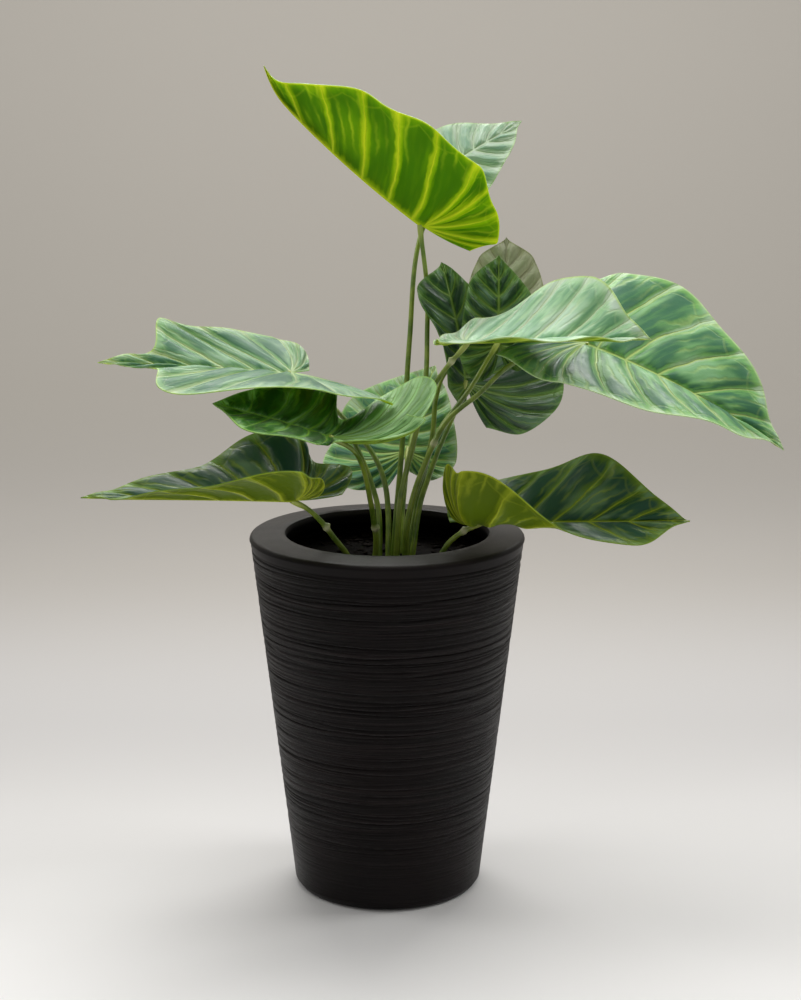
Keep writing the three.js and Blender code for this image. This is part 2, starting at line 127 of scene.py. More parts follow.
def mix(a: Amount, b: Amount, t: Amount) -> Amount:
    """Return the value that lies the share t of the way from a to b."""
    return a + (b - a) * t


def smooth(t: Amount) -> Amount:
    """Return t eased between 0 and 1."""
    held = np.clip(t, 0.0, 1.0)
    return held * held * (3.0 - 2.0 * held)


def swelling(distance: Array, width: Amount) -> Array:
    """Return a soft bell that is 1 where the distance is 0."""
    return np.exp(-((distance / width) ** 2))


def spline_at(values: Sequence[float], t: Array) -> Array:
    """Read a smooth curve through evenly spaced values.

    Args:
        values: the values that the curve passes.
        t: places along it, 0 at the first value and 1 at the last.

    Returns:
        The curve's values at t.
    """
    table = np.asarray(values, float)
    last = len(table) - 1
    at = np.clip(t, 0.0, 1.0) * last
    i = np.minimum(last - 1, np.floor(at).astype(int))
    f = at - i
    a, b, c, d = (table[np.clip(i + k, 0, last)] for k in (-1, 0, 1, 2))
    return b + 0.5 * f * (c - a + f * (2 * a - 5 * b + 4 * c - d + f * (3 * (b - c) + d - a)))


def unit(vectors: Array) -> Array:
    """Return vectors scaled to length 1."""
    return vectors / np.maximum(np.linalg.norm(vectors, axis=-1, keepdims=True), 1e-9)


class Tone(Enum):
    """The looks that the leaves come in."""

    FRESH = "fresh"
    TEAL = "teal"
    MINT = "mint"
    LUSH = "lush"
    SHADED = "shaded"
    DEEP = "deep"
    PALE = "pale"
    FAINT = "faint"


class Side(Enum):
    """The two halves of a blade, seen along the midrib from the stalk to the tip."""

    LEFT = 1
    RIGHT = -1


# A half blade's margin from the tip to the sinus: shares of the length and of the width.
OUTLINE = (
    (1, 0), (0.9, 0.14), (0.75, 0.42), (0.52, 0.72), (0.25, 0.93), (-0.1, 1), (-0.62, 0.9),
    (-1, 0.54), (-0.8, 0.14),
)


@dataclass(frozen=True)
class Half:
    """One half of a blade: its width, the length of its lobe, and how it folds and bends.

    The folds are those of the lobe, the base and the tip. The lists wide and lift change the width
    and raise the margin at even places from the tip to the sinus.
    """

    width: float
    lobe: float
    fold: tuple[float, float, float]
    curl: float = 0
    phase: float = 0
    droop: Optional[float] = None
    wide: Optional[tuple[float, ...]] = None
    lift: Optional[tuple[float, ...]] = None
    shape: tuple[tuple[float, float], ...] = OUTLINE


@dataclass(frozen=True)
class Leaf:
    """One leaf: the ends of its midrib, its two halves, and the way of its stalk.

    The scar is the share of the stalk's length at which a scar with a bud sits.
    """

    name: str
    tone: Tone
    base: Place
    tip: Place
    bend: float
    droop: float
    ruffle: float
    waves: float
    left: Half
    right: Half
    foot: tuple[float, float]
    way: tuple[Place, ...]
    hook: float = 0
    scar: Optional[float] = None


LEAVES = (
    Leaf(
        name="top", tone=Tone.FRESH,
        base=(32.5, 60, 604), tip=(-114, 30, 741), bend=-12, droop=4,
        ruffle=1.6, waves=6.5, hook=9,
        left=Half(
            width=90, lobe=60, fold=(62, 60, 66), curl=6, phase=60,
            wide=(0.46, 0.82, 1.17, 1.02, 0.95, 0.86, 0.7, 0.72, 0.9),
        ),
        right=Half(width=62, lobe=44, fold=(55, 55, 55), curl=4),
        foot=(9, 5),
        way=((12, 8, 361), (25, 22, 414), (35, 40, 462), (37, 60, 506), (37, 69, 545)),
    ),
    Leaf(
        name="top_back", tone=Tone.PALE,
        base=(57, 118, 654), tip=(127, 150, 694), bend=6, droop=4,
        ruffle=1.5, waves=3,
        left=Half(width=44, lobe=30, fold=(44, 42, 24)),
        right=Half(width=42, lobe=30, fold=(-60, -52, -28), curl=-10),
        foot=(6, 14),
        way=((8, 18, 340), (12, 26, 385), (17, 44, 447), (21, 62, 501), (30, 94, 587)),
    ),
    Leaf(
        name="right_big", tone=Tone.TEAL, scar=0.42,
        base=(176, -15, 508), tip=(347, -60, 420), bend=16, droop=34,
        ruffle=2.5, waves=4,
        left=Half(
            width=99, lobe=56, fold=(-6, 34, 52), phase=60,
            wide=(1, 1, 1, 1.06, 1.14, 0.98, 0.9, 0.9, 1),
        ),
        right=Half(
            width=90, lobe=74, fold=(-10, -16, 0),
            lift=(0, 0, -3, -3, 0, 0, 0, 0, 0),
        ),
        foot=(16, -6),
        way=(
            (17, -6, 336), (22, -5, 361), (31, -4, 389), (54, 0, 435), (83, 2, 460), (109, 5, 484),
            (145, 0, 503),
        ),
    ),
    Leaf(
        name="right_front", tone=Tone.MINT, scar=0.9,
        base=(69, -22, 510), tip=(227, -75, 520), bend=2, droop=6,
        ruffle=2.2, waves=5,
        left=Half(
            width=82, lobe=30, fold=(-6, 2, 60), phase=-24,
            wide=(0.62, 0.81, 1.01, 1.04, 0.9, 0.72, 0.66, 0.62, 0.43),
            lift=(-0.5, 8, 15, 17.6, 16, 11, 10, 5, 1),
        ),
        right=Half(
            width=80, lobe=16, fold=(9, 8, 8),
            wide=(1, 1, 1, 1, 1, 0.9, 0.8, 0.8, 1),
        ),
        foot=(8, -14),
        way=((12, -14, 366), (19, -14, 400), (28, -14, 434), (40, -15, 466), (51, -17, 484)),
    ),
    Leaf(
        name="back_right", tone=Tone.DEEP,
        base=(102, 42, 498), tip=(103, 77, 576), bend=10, droop=4,
        ruffle=2, waves=3,
        left=Half(
            width=36, lobe=34, fold=(0, 0, 10),
            wide=(1, 1.7, 1.55, 1.15, 1, 1, 1, 1, 1),
        ),
        right=Half(
            width=42, lobe=24, fold=(0, 0, 10),
            wide=(1, 1, 1, 1, 0.85, 0.75, 0.75, 0.8, 1),
        ),
        foot=(17, 3),
        way=(
            (19, 4, 343), (30, 8, 379), (48, 17, 424), (62, 20, 443), (75, 24, 460), (93, 34, 488),
        ),
    ),
    Leaf(
        name="back_centre", tone=Tone.DEEP,
        base=(73, 50, 461), tip=(50, 80, 569), bend=20, droop=4,
        ruffle=2, waves=3,
        left=Half(
            width=42, lobe=20, fold=(-5, -5, 0),
            wide=(1, 3.4, 2, 0.95, 0.5, 0.45, 0.4, 0.3, 0.3),
        ),
        right=Half(
            width=118, lobe=54, fold=(0, 0, 20),
            wide=(1, 0.6, 0.5, 0.75, 0.9, 1, 1, 1, 1.2),
        ),
        foot=(23, 9),
        way=((30, 18, 354), (37, 22, 376), (47, 28, 403), (57, 38, 424), (66, 48, 443)),
    ),
    Leaf(
        name="far_back", tone=Tone.FAINT,
        base=(113, 140, 483), tip=(115, 170, 583), bend=10, droop=4,
        ruffle=2, waves=3,
        left=Half(
            width=46, lobe=24, fold=(0, 0, 0),
            wide=(1, 2.2, 1.5, 1.1, 1, 1, 1, 1, 1),
        ),
        right=Half(
            width=46, lobe=24, fold=(0, 0, 0),
            wide=(1, 2.2, 1.5, 1.1, 1, 1, 1, 1, 1),
        ),
        foot=(20, 18),
        way=(
            (26, 26, 345), (34, 34, 380), (42, 44, 415), (45, 56, 445), (54, 78, 466),
            (82, 108, 478),
        ),
    ),
    Leaf(
        name="left_upper", tone=Tone.FRESH,
        base=(-86, 10, 478), tip=(-251, -54, 497), bend=4, droop=8,
        ruffle=2, waves=4,
        left=Half(
            width=86, lobe=82, fold=(-5, -2, -22),
            shape=(
                (1, 0), (0.89, 0.05), (0.72, 0.1), (0.75, 0.54), (0.5, 0.75), (0.05, 0.98),
                (-0.45, 1.04), (-0.85, 0.94), (-0.76, 0.74),
            ),
        ),
        right=Half(
            width=70, lobe=25, fold=(20, 20, 44),
            shape=(
                (1, 0), (0.84, 0.15), (0.7, 0.28), (0.63, 0.84), (0.42, 0.84), (0.05, 0.98),
                (-0.62, 0.9), (-1, 0.54), (-0.8, 0.14),
            ),
        ),
        foot=(1, -4),
        way=((1, 4, 350), (-2, 8, 376), (-10, 14, 397), (-26, 24, 418), (-51, 26, 445)),
    ),
    Leaf(
        name="left_middle", tone=Tone.SHADED, scar=0.3,
        base=(-47, -75, 435), tip=(-152, -55, 461), bend=8, droop=0,
        ruffle=2, waves=3,
        left=Half(
            width=68, lobe=92, fold=(-16, 3, -8), droop=-64,
            lift=(0, 0, 0, 0, 0, 2, 5, 8, 16),
            shape=(
                (1, 0), (0.85, 0.27), (0.62, 0.66), (0.32, 0.9), (0.05, 0.8), (-0.08, 0.26),
                (-0.42, 0.3), (-1, 0.38), (-0.86, 0.12),
            ),
        ),
        right=Half(
            width=76, lobe=98, fold=(22, 15, 20), droop=-36,
            lift=(0, 2, 4, 6, 2, 12, 20, 24, 14),
            shape=(
                (1, 0), (0.8, 0.35), (0.45, 0.9), (0.2, 0.95), (0.02, 0.4), (-0.26, 0.92),
                (-0.7, 1), (-1, 0.66), (-0.8, 0.16),
            ),
        ),
        foot=(-11, -12),
        way=((-10, -18, 330), (-15, -34, 370), (-22, -54, 406), (-30, -66, 422)),
    ),
    Leaf(
        name="left_back", tone=Tone.LUSH,
        base=(-100, 60, 458), tip=(-165, 100, 470), bend=10, droop=6,
        ruffle=1.5, waves=3,
        left=Half(width=40, lobe=26, fold=(6, 6, 6)),
        right=Half(width=40, lobe=26, fold=(6, 6, 6)),
        foot=(-7, 2),
        way=((-8, 10, 351), (-15, 18, 376), (-24, 24, 398), (-38, 34, 423), (-52, 44, 431)),
    ),
    Leaf(
        name="centre_back", tone=Tone.TEAL,
        base=(19, 75, 393), tip=(46, 110, 468), bend=20, droop=4,
        ruffle=2, waves=3,
        left=Half(
            width=97, lobe=44, fold=(0, 0, 10),
            wide=(1, 1, 1, 1, 0.95, 0.94, 1.05, 1.1, 1),
        ),
        right=Half(width=46, lobe=24, fold=(-30, -30, -10)),
        foot=(13, 24),
        way=((14, 36, 340), (17, 50, 370)),
    ),
    Leaf(
        name="left_low", tone=Tone.LUSH, scar=0.6,
        base=(-80, -80, 380), tip=(-263, -100, 387), bend=2, droop=2,
        ruffle=2, waves=4,
        left=Half(
            width=80, lobe=22, fold=(34, 29, 12),
            wide=(1, 1, 1, 1, 1, 0.95, 0.8, 0.8, 1),
        ),
        right=Half(
            width=88, lobe=52, fold=(30, 33, 12),
            shape=(
                (1, 0), (0.9, 0.14), (0.75, 0.36), (0.46, 0.52), (0.2, 0.95), (-0.18, 0.92),
                (-0.38, 0.55), (-0.98, 0.5), (-0.8, 0.12),
            ),
        ),
        foot=(-29, -38),
        way=((-37, -46, 325), (-46, -54, 339), (-58, -62, 357), (-70, -72, 371)),
    ),
    Leaf(
        name="right_low", tone=Tone.LUSH, scar=0.78,
        base=(81, -50, 353), tip=(261, -100, 366), bend=2, droop=2,
        ruffle=3.2, waves=4,
        left=Half(
            width=72, lobe=36, fold=(10, 14, 44), phase=-48,
            lift=(-1.5, 3, 13.6, 23, 13.6, 0, 0, 0, 0),
        ),
        right=Half(width=84, lobe=22, fold=(22, -8, -36), curl=115),
        foot=(42, -42),
        way=((50, -48, 327), (57, -50, 337), (71, -50, 347)),
    ),
)


class Midrib:
    """The arc of a leaf's midrib over the chord from the stalk's end to the tip."""

    def __init__(self, leaf: Leaf) -> None:
        """Work out the arc's frame from the leaf's two ends and its bend.

        Args:
            leaf: the leaf.
        """
        self.leaf = leaf
        self.base = np.array(leaf.base, float)
        chord = np.array(leaf.tip, float) - self.base
        span = float(np.linalg.norm(chord))
        self.ahead = chord / span
        up = np.array([0.0, 0.0, 1.0]) - self.ahead * self.ahead[2]
        self.up = up / np.linalg.norm(up)
        self.left = np.cross(self.up, self.ahead)
        self.bend = math.radians(leaf.bend or LEAST_BEND)
        self.length = span * self.bend / 2 / math.sin(self.bend / 2)
        self.start = -self.bend / 2

    def arc(self, s: Array, half: Optional[Half] = None) -> tuple[Array, Array]:
        """Follow the midrib, or behind the stalk the line that a lobe hangs from.

        Args:
            s: distances from the stalk's end towards the tip.
            half: the half blade whose lobe is followed where s is below 0.

        Returns:
            The points of the line and the directions that its upper side faces.
        """
        s = np.asarray(s, float)
        rate = np.full(s.shape, self.bend / self.length)
        if half is not None:
            droop = self.leaf.droop if half.droop is None else half.droop
            rate = np.where(s < 0, math.radians(droop) / half.lobe, rate)
        angle = self.start + rate * s
        along = (np.sin(angle) - math.sin(self.start)) / rate
        past = np.maximum(0.0, (s / self.length - HOOK_START) / (1 - HOOK_START))
        above = (np.cos(angle) - math.cos(self.start)) / rate + self.leaf.hook * past**2
        at = self.base + along[..., None] * self.ahead + above[..., None] * self.up
        normal = np.cos(angle)[..., None] * self.up + np.sin(angle)[..., None] * self.ahead
        return at, normal


def spine_share(v: Array) -> Array:
    """Return where on the midrib the rib of v starts, as a share of the midrib's length."""
    return np.where(v < SPINE_SHARE, np.clip(1 - v / SPINE_SHARE, 0.0, 1.0) ** SPINE_CURVE, 0.0)


def half_blade(leaf: Leaf, rib: Midrib, side: Side, v: Array, j: Array) -> tuple[Array, Array]:
    """Shape one half of a blade.

    Args:
        leaf: the leaf.
        rib: its midrib.
        side: which half.
        v: places round the outline, 0 at the tip and 1 at the sinus.
        j: places along the ribs, 0 at the midrib and 1 at the margin.

    Returns:
        The points, and the length of the rib through each.
    """
    half = leaf.left if side is Side.LEFT else leaf.right
    share = spline_at([p[0] for p in half.shape], v)
    end_s = share * np.where(share > 0, rib.length, half.lobe)
    end_t = spline_at([p[1] for p in half.shape], v) * half.width
    if half.wide:
        end_t = end_t * spline_at(half.wide, v)
    spine = spine_share(v) * rib.length
    bow = RIB_BOW * 4 * j * (1 - j)
    s = mix(spine, end_s, j) - bow * end_t * 0.5
    t = end_t * j + bow * (end_s - spine) * 0.5 * np.where(v < SPINE_SHARE, BOW_AHEAD, BOW_BEHIND)
    at, normal = rib.arc(s, half)
    lobe_fold, base_fold, tip_fold = half.fold
    to_tip = smooth(s / rib.length)
    to_lobe = smooth(-s / half.lobe)
    fold = np.where(s < 0, mix(base_fold, lobe_fold, to_lobe), mix(base_fold, tip_fold, to_tip))
    fold = np.radians(fold)
    curl = math.radians(half.curl or LEAST_BEND) * (1 - CURL_FADE * to_tip)
    turn = fold + curl * np.maximum(0.0, t) / half.width
    scale = half.width / curl
    across = scale * (np.sin(turn) - np.sin(fold))
    rise = scale * (np.cos(fold) - np.cos(turn))
    edge = j**EDGE_POWER
    if half.lift:
        rise = rise + spline_at(half.lift, v) * edge
    phase = np.radians(360 * leaf.waves * v + half.phase)
    rise = rise + leaf.ruffle * edge * j * np.sin(phase) * smooth(v * TIP_CALM)
    points = at + side.value * across[..., None] * rib.left + rise[..., None] * normal
    return points, np.hypot(end_s - spine, end_t)


def only(piece: Piece) -> None:
    """Make a piece the only selected one, and the active one.

    Args:
        piece: the piece.
    """
    if bpy.context.object is not None and bpy.context.object.mode != "OBJECT":
        bpy.ops.object.mode_set(mode="OBJECT")
    bpy.ops.object.select_all(action="DESELECT")
    piece.select_set(True)
    bpy.context.view_layer.objects.active = piece


def add_sheet(name: str, across: int, along: int) -> Piece:
    """Add a flat sheet of cells from -1 to 1 both ways, with its UV map, ready to be formed.

    Args:
        name: the piece's name.
        across: the number of cells along X.
        along: the number of cells along Y.

    Returns:
        The new piece.
    """
    bpy.ops.object.select_all(action="DESELECT")
    bpy.ops.mesh.primitive_grid_add(
        x_subdivisions=across, y_subdivisions=along, size=2, calc_uvs=True, location=(0, 0, 0)
    )
    sheet = bpy.context.object
    sheet.name = name
    sheet.data.name = name
    sheet.data.uv_layers[0].name = CELL_MAP
    return sheet


def points_of(piece: Piece) -> Array:
    """Read the places of a piece's points.

    Args:
        piece: the piece.

    Returns:
        One row for each point, in the mesh's own unit.
    """
    flat = np.zeros(len(piece.data.vertices) * 3)
    piece.data.vertices.foreach_get("co", flat)
    return flat.reshape(-1, 3)


def cells_of(sheet: Piece, across: int, along: int) -> tuple[Array, Array]:
    """Return where a flat sheet's points lie along X and along Y, as rows of a table."""
    table = points_of(sheet).reshape(along + 1, across + 1, 3)
    return table[..., 0], table[..., 1]


def place_points(piece: Piece, points: Array) -> None:
    """Put a piece's points, given in millimetres, in their places."""
    piece.data.vertices.foreach_set("co", (points.reshape(-1, 3) * MM).ravel())
    piece.data.update()


def add_facts(piece: Piece, name: str, facts: Array) -> None:
    """Store three numbers for each point of a piece, for its material to read."""
    layer = piece.data.attributes.new(name, "FLOAT_VECTOR", "POINT")
    layer.data.foreach_set("vector", np.ascontiguousarray(facts.reshape(-1, 3), np.float32).ravel())


def edit(piece: Piece, change: Callable[..., set[str]], **options: float) -> None:
    """Change the whole mesh of a piece in edit mode.

    Args:
        piece: the piece.
        change: the operator that does it.
        options: the operator's settings.
    """
    only(piece)
    bpy.ops.object.mode_set(mode="EDIT")
    bpy.ops.mesh.select_all(action="SELECT")
    change(**options)
    bpy.ops.mesh.select_all(action="DESELECT")
    bpy.ops.object.mode_set(mode="OBJECT")


def merge_points(piece: Piece) -> None:
    """Join the points of a piece that lie in one place."""
    edit(piece, bpy.ops.mesh.remove_doubles, threshold=JOIN_REACH)


def face_outwards(piece: Piece) -> None:
    """Turn all faces of a closed piece to its outside."""
    edit(piece, bpy.ops.mesh.normals_make_consistent, inside=False)


def apply_modifiers(piece: Piece) -> None:
    """Apply all modifiers of a piece, in their order.

    Args:
        piece: the piece.
    """
    only(piece)
    for modifier in list(piece.modifiers):
        bpy.ops.object.modifier_apply(modifier=modifier.name)


def shade_round(piece: Piece, angle: float) -> None:
    """Shade a piece smooth, and keep the edges that turn by more than the angle."""
    only(piece)
    bpy.ops.object.shade_smooth_by_angle(angle=math.radians(angle))


def settle(piece: Piece, nodes: Sequence[str]) -> None:
    """Hand a finished piece to the plant.

    Args:
        piece: the piece.
        nodes: the solids that it stands for.
    """
    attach(piece, ROOT_BODY)
    if nodes:
        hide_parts(*nodes)
    LOG.info("%s: %d faces", piece.name, len(piece.data.polygons))


class Waviness:
    """Smooth random heights in space, the same at each run."""

    def __init__(self, seed: int, terms: int, longest: float, shortest: float) -> None:
        """Draw the waves.

        Args:
            seed: the start of the random draw.
            terms: how many waves are added up.
            longest: the longest wave, in the unit of the places.
            shortest: the shortest wave.
        """
        draw = np.random.default_rng(seed)
        length = np.geomspace(longest, shortest, terms)
        self.phase = draw.uniform(0, FULL_TURN, (terms, 3))[:, 0]
        direction = unit(draw.normal(size=(terms, 3)))
        self.waves = direction * (FULL_TURN / length)[:, None]
        self.size = (length / longest) ** 0.6
        self.size /= math.sqrt(float((self.size**2).sum()) / 2)

    def at(self, points: Array) -> Array:
        """Add the waves up at points of any table.

        Args:
            points: the places.

        Returns:
            The heights, mostly between -1 and 1.
        """
        total = np.zeros(points.shape[:-1])
        for wave, phase, size in zip(self.waves, self.phase, self.size):
            total += size * np.sin(points @ wave + phase)
        return total


class Graph:
    """A material whose nodes are added and wired by short calls."""

    def __init__(self, name: str) -> None:
        """Start an empty material.

        Args:
            name: its name.
        """
        self.material = bpy.data.materials.new(name)
        self.material.use_nodes = True
        self.tree = self.material.node_tree
        self.tree.nodes.clear()

    def add(self, kind: str, inputs: dict[Union[int, str], Wired], **settings: object) -> bpy.types.Node:
        """Add a node.

        Args:
            kind: its type, without the word that all of them begin with.
            inputs: for the name or number of a socket, the output, number or tint that it takes.
            settings: values for the node's own fields.

        Returns:
            The node.
        """
        node = self.tree.nodes.new(f"ShaderNode{kind}")
        for field_name, value in settings.items():
            setattr(node, field_name, value)
        for key, value in inputs.items():
            socket = node.inputs[key]
            if isinstance(value, Socket):
                self.tree.links.new(value, socket)
            else:
                socket.default_value = (*linear(value), 1.0) if socket.type == "RGBA" else value
        return node

    def math(self, operation: str, *values: Wired, clamp: bool = False) -> Socket:
        """Return what an operation makes of one to three values, held between 0 and 1 by clamp."""
        node = self.add("Math", dict(enumerate(values)), operation=operation, use_clamp=clamp)
        return node.outputs[0]

    def times(self, first: Wired, second: Wired) -> Socket:
        """Return the product of two values."""
        return self.math("MULTIPLY", first, second)

    def line(self, value: Wired, factor: Wired, start: Wired = 0.0, clamp: bool = False) -> Socket:
        """Return value times factor, added to start."""
        return self.math("MULTIPLY_ADD", value, factor, start, clamp=clamp)

    def to_half(self, value: Wired) -> Socket:
        """Return how far a value lies from the nearest half between whole numbers, up to 0.5."""
        return self.math("ABSOLUTE", self.math("SUBTRACT", self.math("FRACT", value), 0.5))

    def ease(self, value: Wired, low: Wired, high: Wired, first: Wired = 0.0, last: Wired = 1.0) -> Socket:
        """Return what goes smoothly from first to last while value goes from low to high."""
        inputs = {"Value": value, "From Min": low, "From Max": high, "To Min": first, "To Max": last}
        return self.add("MapRange", inputs, interpolation_type="SMOOTHSTEP").outputs["Result"]

    def blend(self, share: Wired, below: Wired, above: Wired, how: str = "MIX") -> Socket:
        """Return two colours mixed, with that share of the one above."""
        inputs = {"Factor": share, MIX_BELOW: below, MIX_ABOVE: above}
        return self.add("Mix", inputs, data_type="RGBA", blend_type=how).outputs[MIX_RESULT]

    def coats(self, colour: Wired, *coats: tuple[Wired, Wired]) -> Socket:
        """Lay coats of paint over a colour.

        Args:
            colour: the ground.
            coats: for each coat, the share of the ground that it covers and its paint.

        Returns:
            The colour on top.
        """
        for share, paint in coats:
            colour = self.blend(share, colour, paint)
        return colour

    def place(self) -> Socket:
        """Return the place in the piece's own space, in metres."""
        return self.add("TexCoord", {}).outputs["Object"]

    def noise(
        self,
        scale: float,
        detail: float = 3.0,
        rough: float = 0.5,
        stretch: Optional[Place] = None,
        where: Optional[Socket] = None,
    ) -> Socket:
        """Return cloudy noise.

        Args:
            scale: noise cells to a metre, or to a unit of the coordinates.
            detail: the number of finer layers.
            rough: how strong those are.
            stretch: a factor for the coordinates along each axis.
            where: the coordinates, the place in the piece's own space if not given.

        Returns:
            The noise, from 0 to 1 about 0.5.
        """
        where = self.place() if where is None else where
        if stretch is not None:
            where = self.add("Mapping", {"Vector": where, "Scale": stretch}).outputs["Vector"]
        inputs = {"Vector": where, "Scale": scale, "Detail": detail, "Roughness": rough}
        return self.add("TexNoise", inputs).outputs["Fac"]

    def parts(self, vector: Socket) -> tuple[Socket, ...]:
        """Return the three parts of a vector."""
        return tuple(self.add("SeparateXYZ", {0: vector}).outputs)

    def facts(self, name: str) -> tuple[Socket, ...]:
        """Return the three numbers that a piece stores for each point under a name."""
        return self.parts(self.add("Attribute", {}, attribute_name=name).outputs["Vector"])

    def cells(self) -> tuple[Socket, ...]:
        """Return the places across and along a formed sheet, from 0 to 1, read from its UV map."""
        return self.parts(self.add("UVMap", {}, uv_map=CELL_MAP).outputs["UV"])[:2]

    def bump(
        self, height: Socket, distance: float, strength: float, below: Optional[Socket] = None
    ) -> Socket:
        """Shade as if the surface had a relief.

        Args:
            height: the relief.
            distance: the real height of 1, in metres.
            strength: the share of the relief that shows.
            below: the shading direction of a coarser relief under it.

        Returns:
            The shading direction.
        """
        inputs = {"Distance": distance, "Strength": strength, "Height": height}
        if below is not None:
            inputs["Normal"] = below
        return self.add("Bump", inputs).outputs["Normal"]

    def surface(self, colour: Wired, rough: Wired, **others: Wired) -> Socket:
        """Return the main shader; others fill its other sockets, with _ for a space in the name."""
        inputs = {name.replace("_", " "): value for name, value in others.items()}
        return self.add("BsdfPrincipled", {"Base Color": colour, "Roughness": rough, **inputs}).outputs[0]

    def translucent(self, face: Socket, glow: Socket, share: float) -> Socket:
        """Return the shader of a thin surface that lets a share of the light through, tinted by glow."""
        through = self.add("BsdfTranslucent", {"Color": glow}).outputs[0]
        return self.add("MixShader", {0: share, 1: face, 2: through}).outputs[0]

    def finish(self, shader: Socket) -> bpy.types.Material:
        """Wire the shader to the material's output and return the material."""
        self.add("OutputMaterial", {"Surface": shader})
        return self.material


@dataclass(frozen=True)
class LeafFinish:
    """The colours of a leaf, and how its light and dark parts share the blade."""

    deep: Tint
    mid: Tint
    pale: Tint
    vein: Tint
    margin: Tint
    under_deep: Tint
    under_pale: Tint
    under_vein: Tint
    glow: Tint
    # painted gloss: pale streaks on the upper side that stand for the sheen of the overhead light
    painted_gloss: Tint = (172, 208, 188)
    pallor: float = 0.0
    roughness: float = 0.36
    seen_through: float = 0.3
    bloom: float = 0.35
    gloss: float = 0.55
    under_bloom: float = 0.05
    under_gloss: float = 0.15
    # painted light on the lobes: above 0 they are lighter where lit, below 0 darker where a leaf above
    # shades them
    lobe_painted_light: float = 0.0


FINISHES = {
    Tone.FRESH: LeafFinish(
        deep=(84, 142, 112), mid=(158, 210, 152), pale=(222, 243, 218),
        vein=(214, 238, 190), margin=(212, 242, 170),
        under_deep=(100, 164, 4), under_pale=(180, 214, 10), under_vein=(246, 255, 70),
        glow=(255, 246, 20), pallor=0.1, seen_through=0.5,
    ),
    # TEAL's lobes are painted darker: painted shade of the leaf that lies over them.
    Tone.TEAL: LeafFinish(
        deep=(66, 124, 94), mid=(132, 194, 104), pale=(206, 236, 194),
        vein=(206, 232, 132), margin=(208, 238, 170),
        under_deep=(104, 124, 22), under_pale=(148, 162, 44), under_vein=(204, 214, 84),
        glow=(230, 245, 70), painted_gloss=(150, 200, 160), pallor=0.1, seen_through=0.18, bloom=0.18,
        gloss=0.42, lobe_painted_light=-0.2,
    ),
    # DEEP is a darker copy for the leaves at the back: painted shade of the leaves in front of them.
    Tone.DEEP: LeafFinish(
        deep=(30, 70, 32), mid=(70, 116, 34), pale=(120, 164, 76),
        vein=(128, 160, 62), margin=(110, 148, 70),
        under_deep=(44, 70, 14), under_pale=(94, 118, 32), under_vein=(150, 172, 60),
        glow=(200, 240, 60), painted_gloss=(104, 138, 112), pallor=-0.06, seen_through=0.2,
        bloom=0.04, gloss=0.4,
    ),
    # MINT is a lighter copy for right_front: its pale colours paint the sheen of the overhead light on its
    # upper side.
    Tone.MINT: LeafFinish(
        deep=(98, 160, 122), mid=(174, 220, 166), pale=(226, 245, 220),
        vein=(222, 242, 190), margin=(206, 236, 140),
        under_deep=(104, 150, 30), under_pale=(168, 200, 50), under_vein=(230, 244, 100),
        glow=(245, 255, 90), painted_gloss=(206, 230, 214), pallor=0.2, seen_through=0.16, bloom=0.3,
    ),
    Tone.LUSH: LeafFinish(
        deep=(44, 92, 66), mid=(106, 142, 30), pale=(150, 190, 110),
        vein=(186, 202, 50), margin=(140, 170, 50),
        under_deep=(104, 130, 16), under_pale=(144, 164, 26), under_vein=(206, 218, 60),
        glow=(240, 250, 40), painted_gloss=(122, 160, 136), pallor=0.0, seen_through=0.3,
        bloom=0.08, gloss=0.4,
    ),
    # SHADED paints shade: its dark fields stand for the shadow that left_upper casts on left_middle, and
    # its lobes are painted lighter where they are lit.
    Tone.SHADED: LeafFinish(
        deep=(30, 78, 16), mid=(60, 124, 28), pale=(180, 226, 156),
        vein=(130, 180, 50), margin=(170, 216, 110),
        under_deep=(44, 84, 14), under_pale=(94, 128, 32), under_vein=(150, 182, 60),
        glow=(200, 240, 60), painted_gloss=(70, 112, 64), pallor=0.0, seen_through=0.2,
        bloom=0.08, gloss=0.4, lobe_painted_light=0.6,
    ),
    Tone.FAINT: LeafFinish(
        deep=(180, 190, 150), mid=(196, 204, 168), pale=(216, 218, 190),
        vein=(196, 196, 168), margin=(176, 180, 140),
        under_deep=(140, 150, 110), under_pale=(160, 168, 130), under_vein=(186, 190, 160),
        glow=(230, 235, 180), painted_gloss=(206, 206, 180), pallor=0.15, seen_through=0.4, bloom=0.1,
    ),
    Tone.PALE: LeafFinish(
        deep=(150, 192, 166), mid=(186, 216, 184), pale=(226, 240, 224),
        vein=(214, 232, 204), margin=(206, 230, 180),
        under_deep=(120, 150, 96), under_pale=(160, 182, 132), under_vein=(196, 210, 160),
        glow=(236, 255, 190), painted_gloss=(214, 232, 222), pallor=0.15, seen_through=0.4,
    ),
}


@dataclass(frozen=True)
class Face:
    """How the upper side and the underside of every blade differ.

    Grain, thin streaks and the margin lighten it by shares; rise is -1 where the veins are sunk.
    """

    name: str
    grain_light: float
    thin_light: float
    edge_light: float
    # the share of the painted gloss streaks, the overhead light's sheen painted on
    painted_gloss: float
    rise: float
    more_rough: float


UPPER = Face(
    "upper", grain_light=0.36, thin_light=0.12, edge_light=0.4, painted_gloss=0.6, rise=-1, more_rough=0
)
UNDER = Face(
    "under", grain_light=0.1, thin_light=0.06, edge_light=0.12, painted_gloss=0, rise=1, more_rough=0.12
)


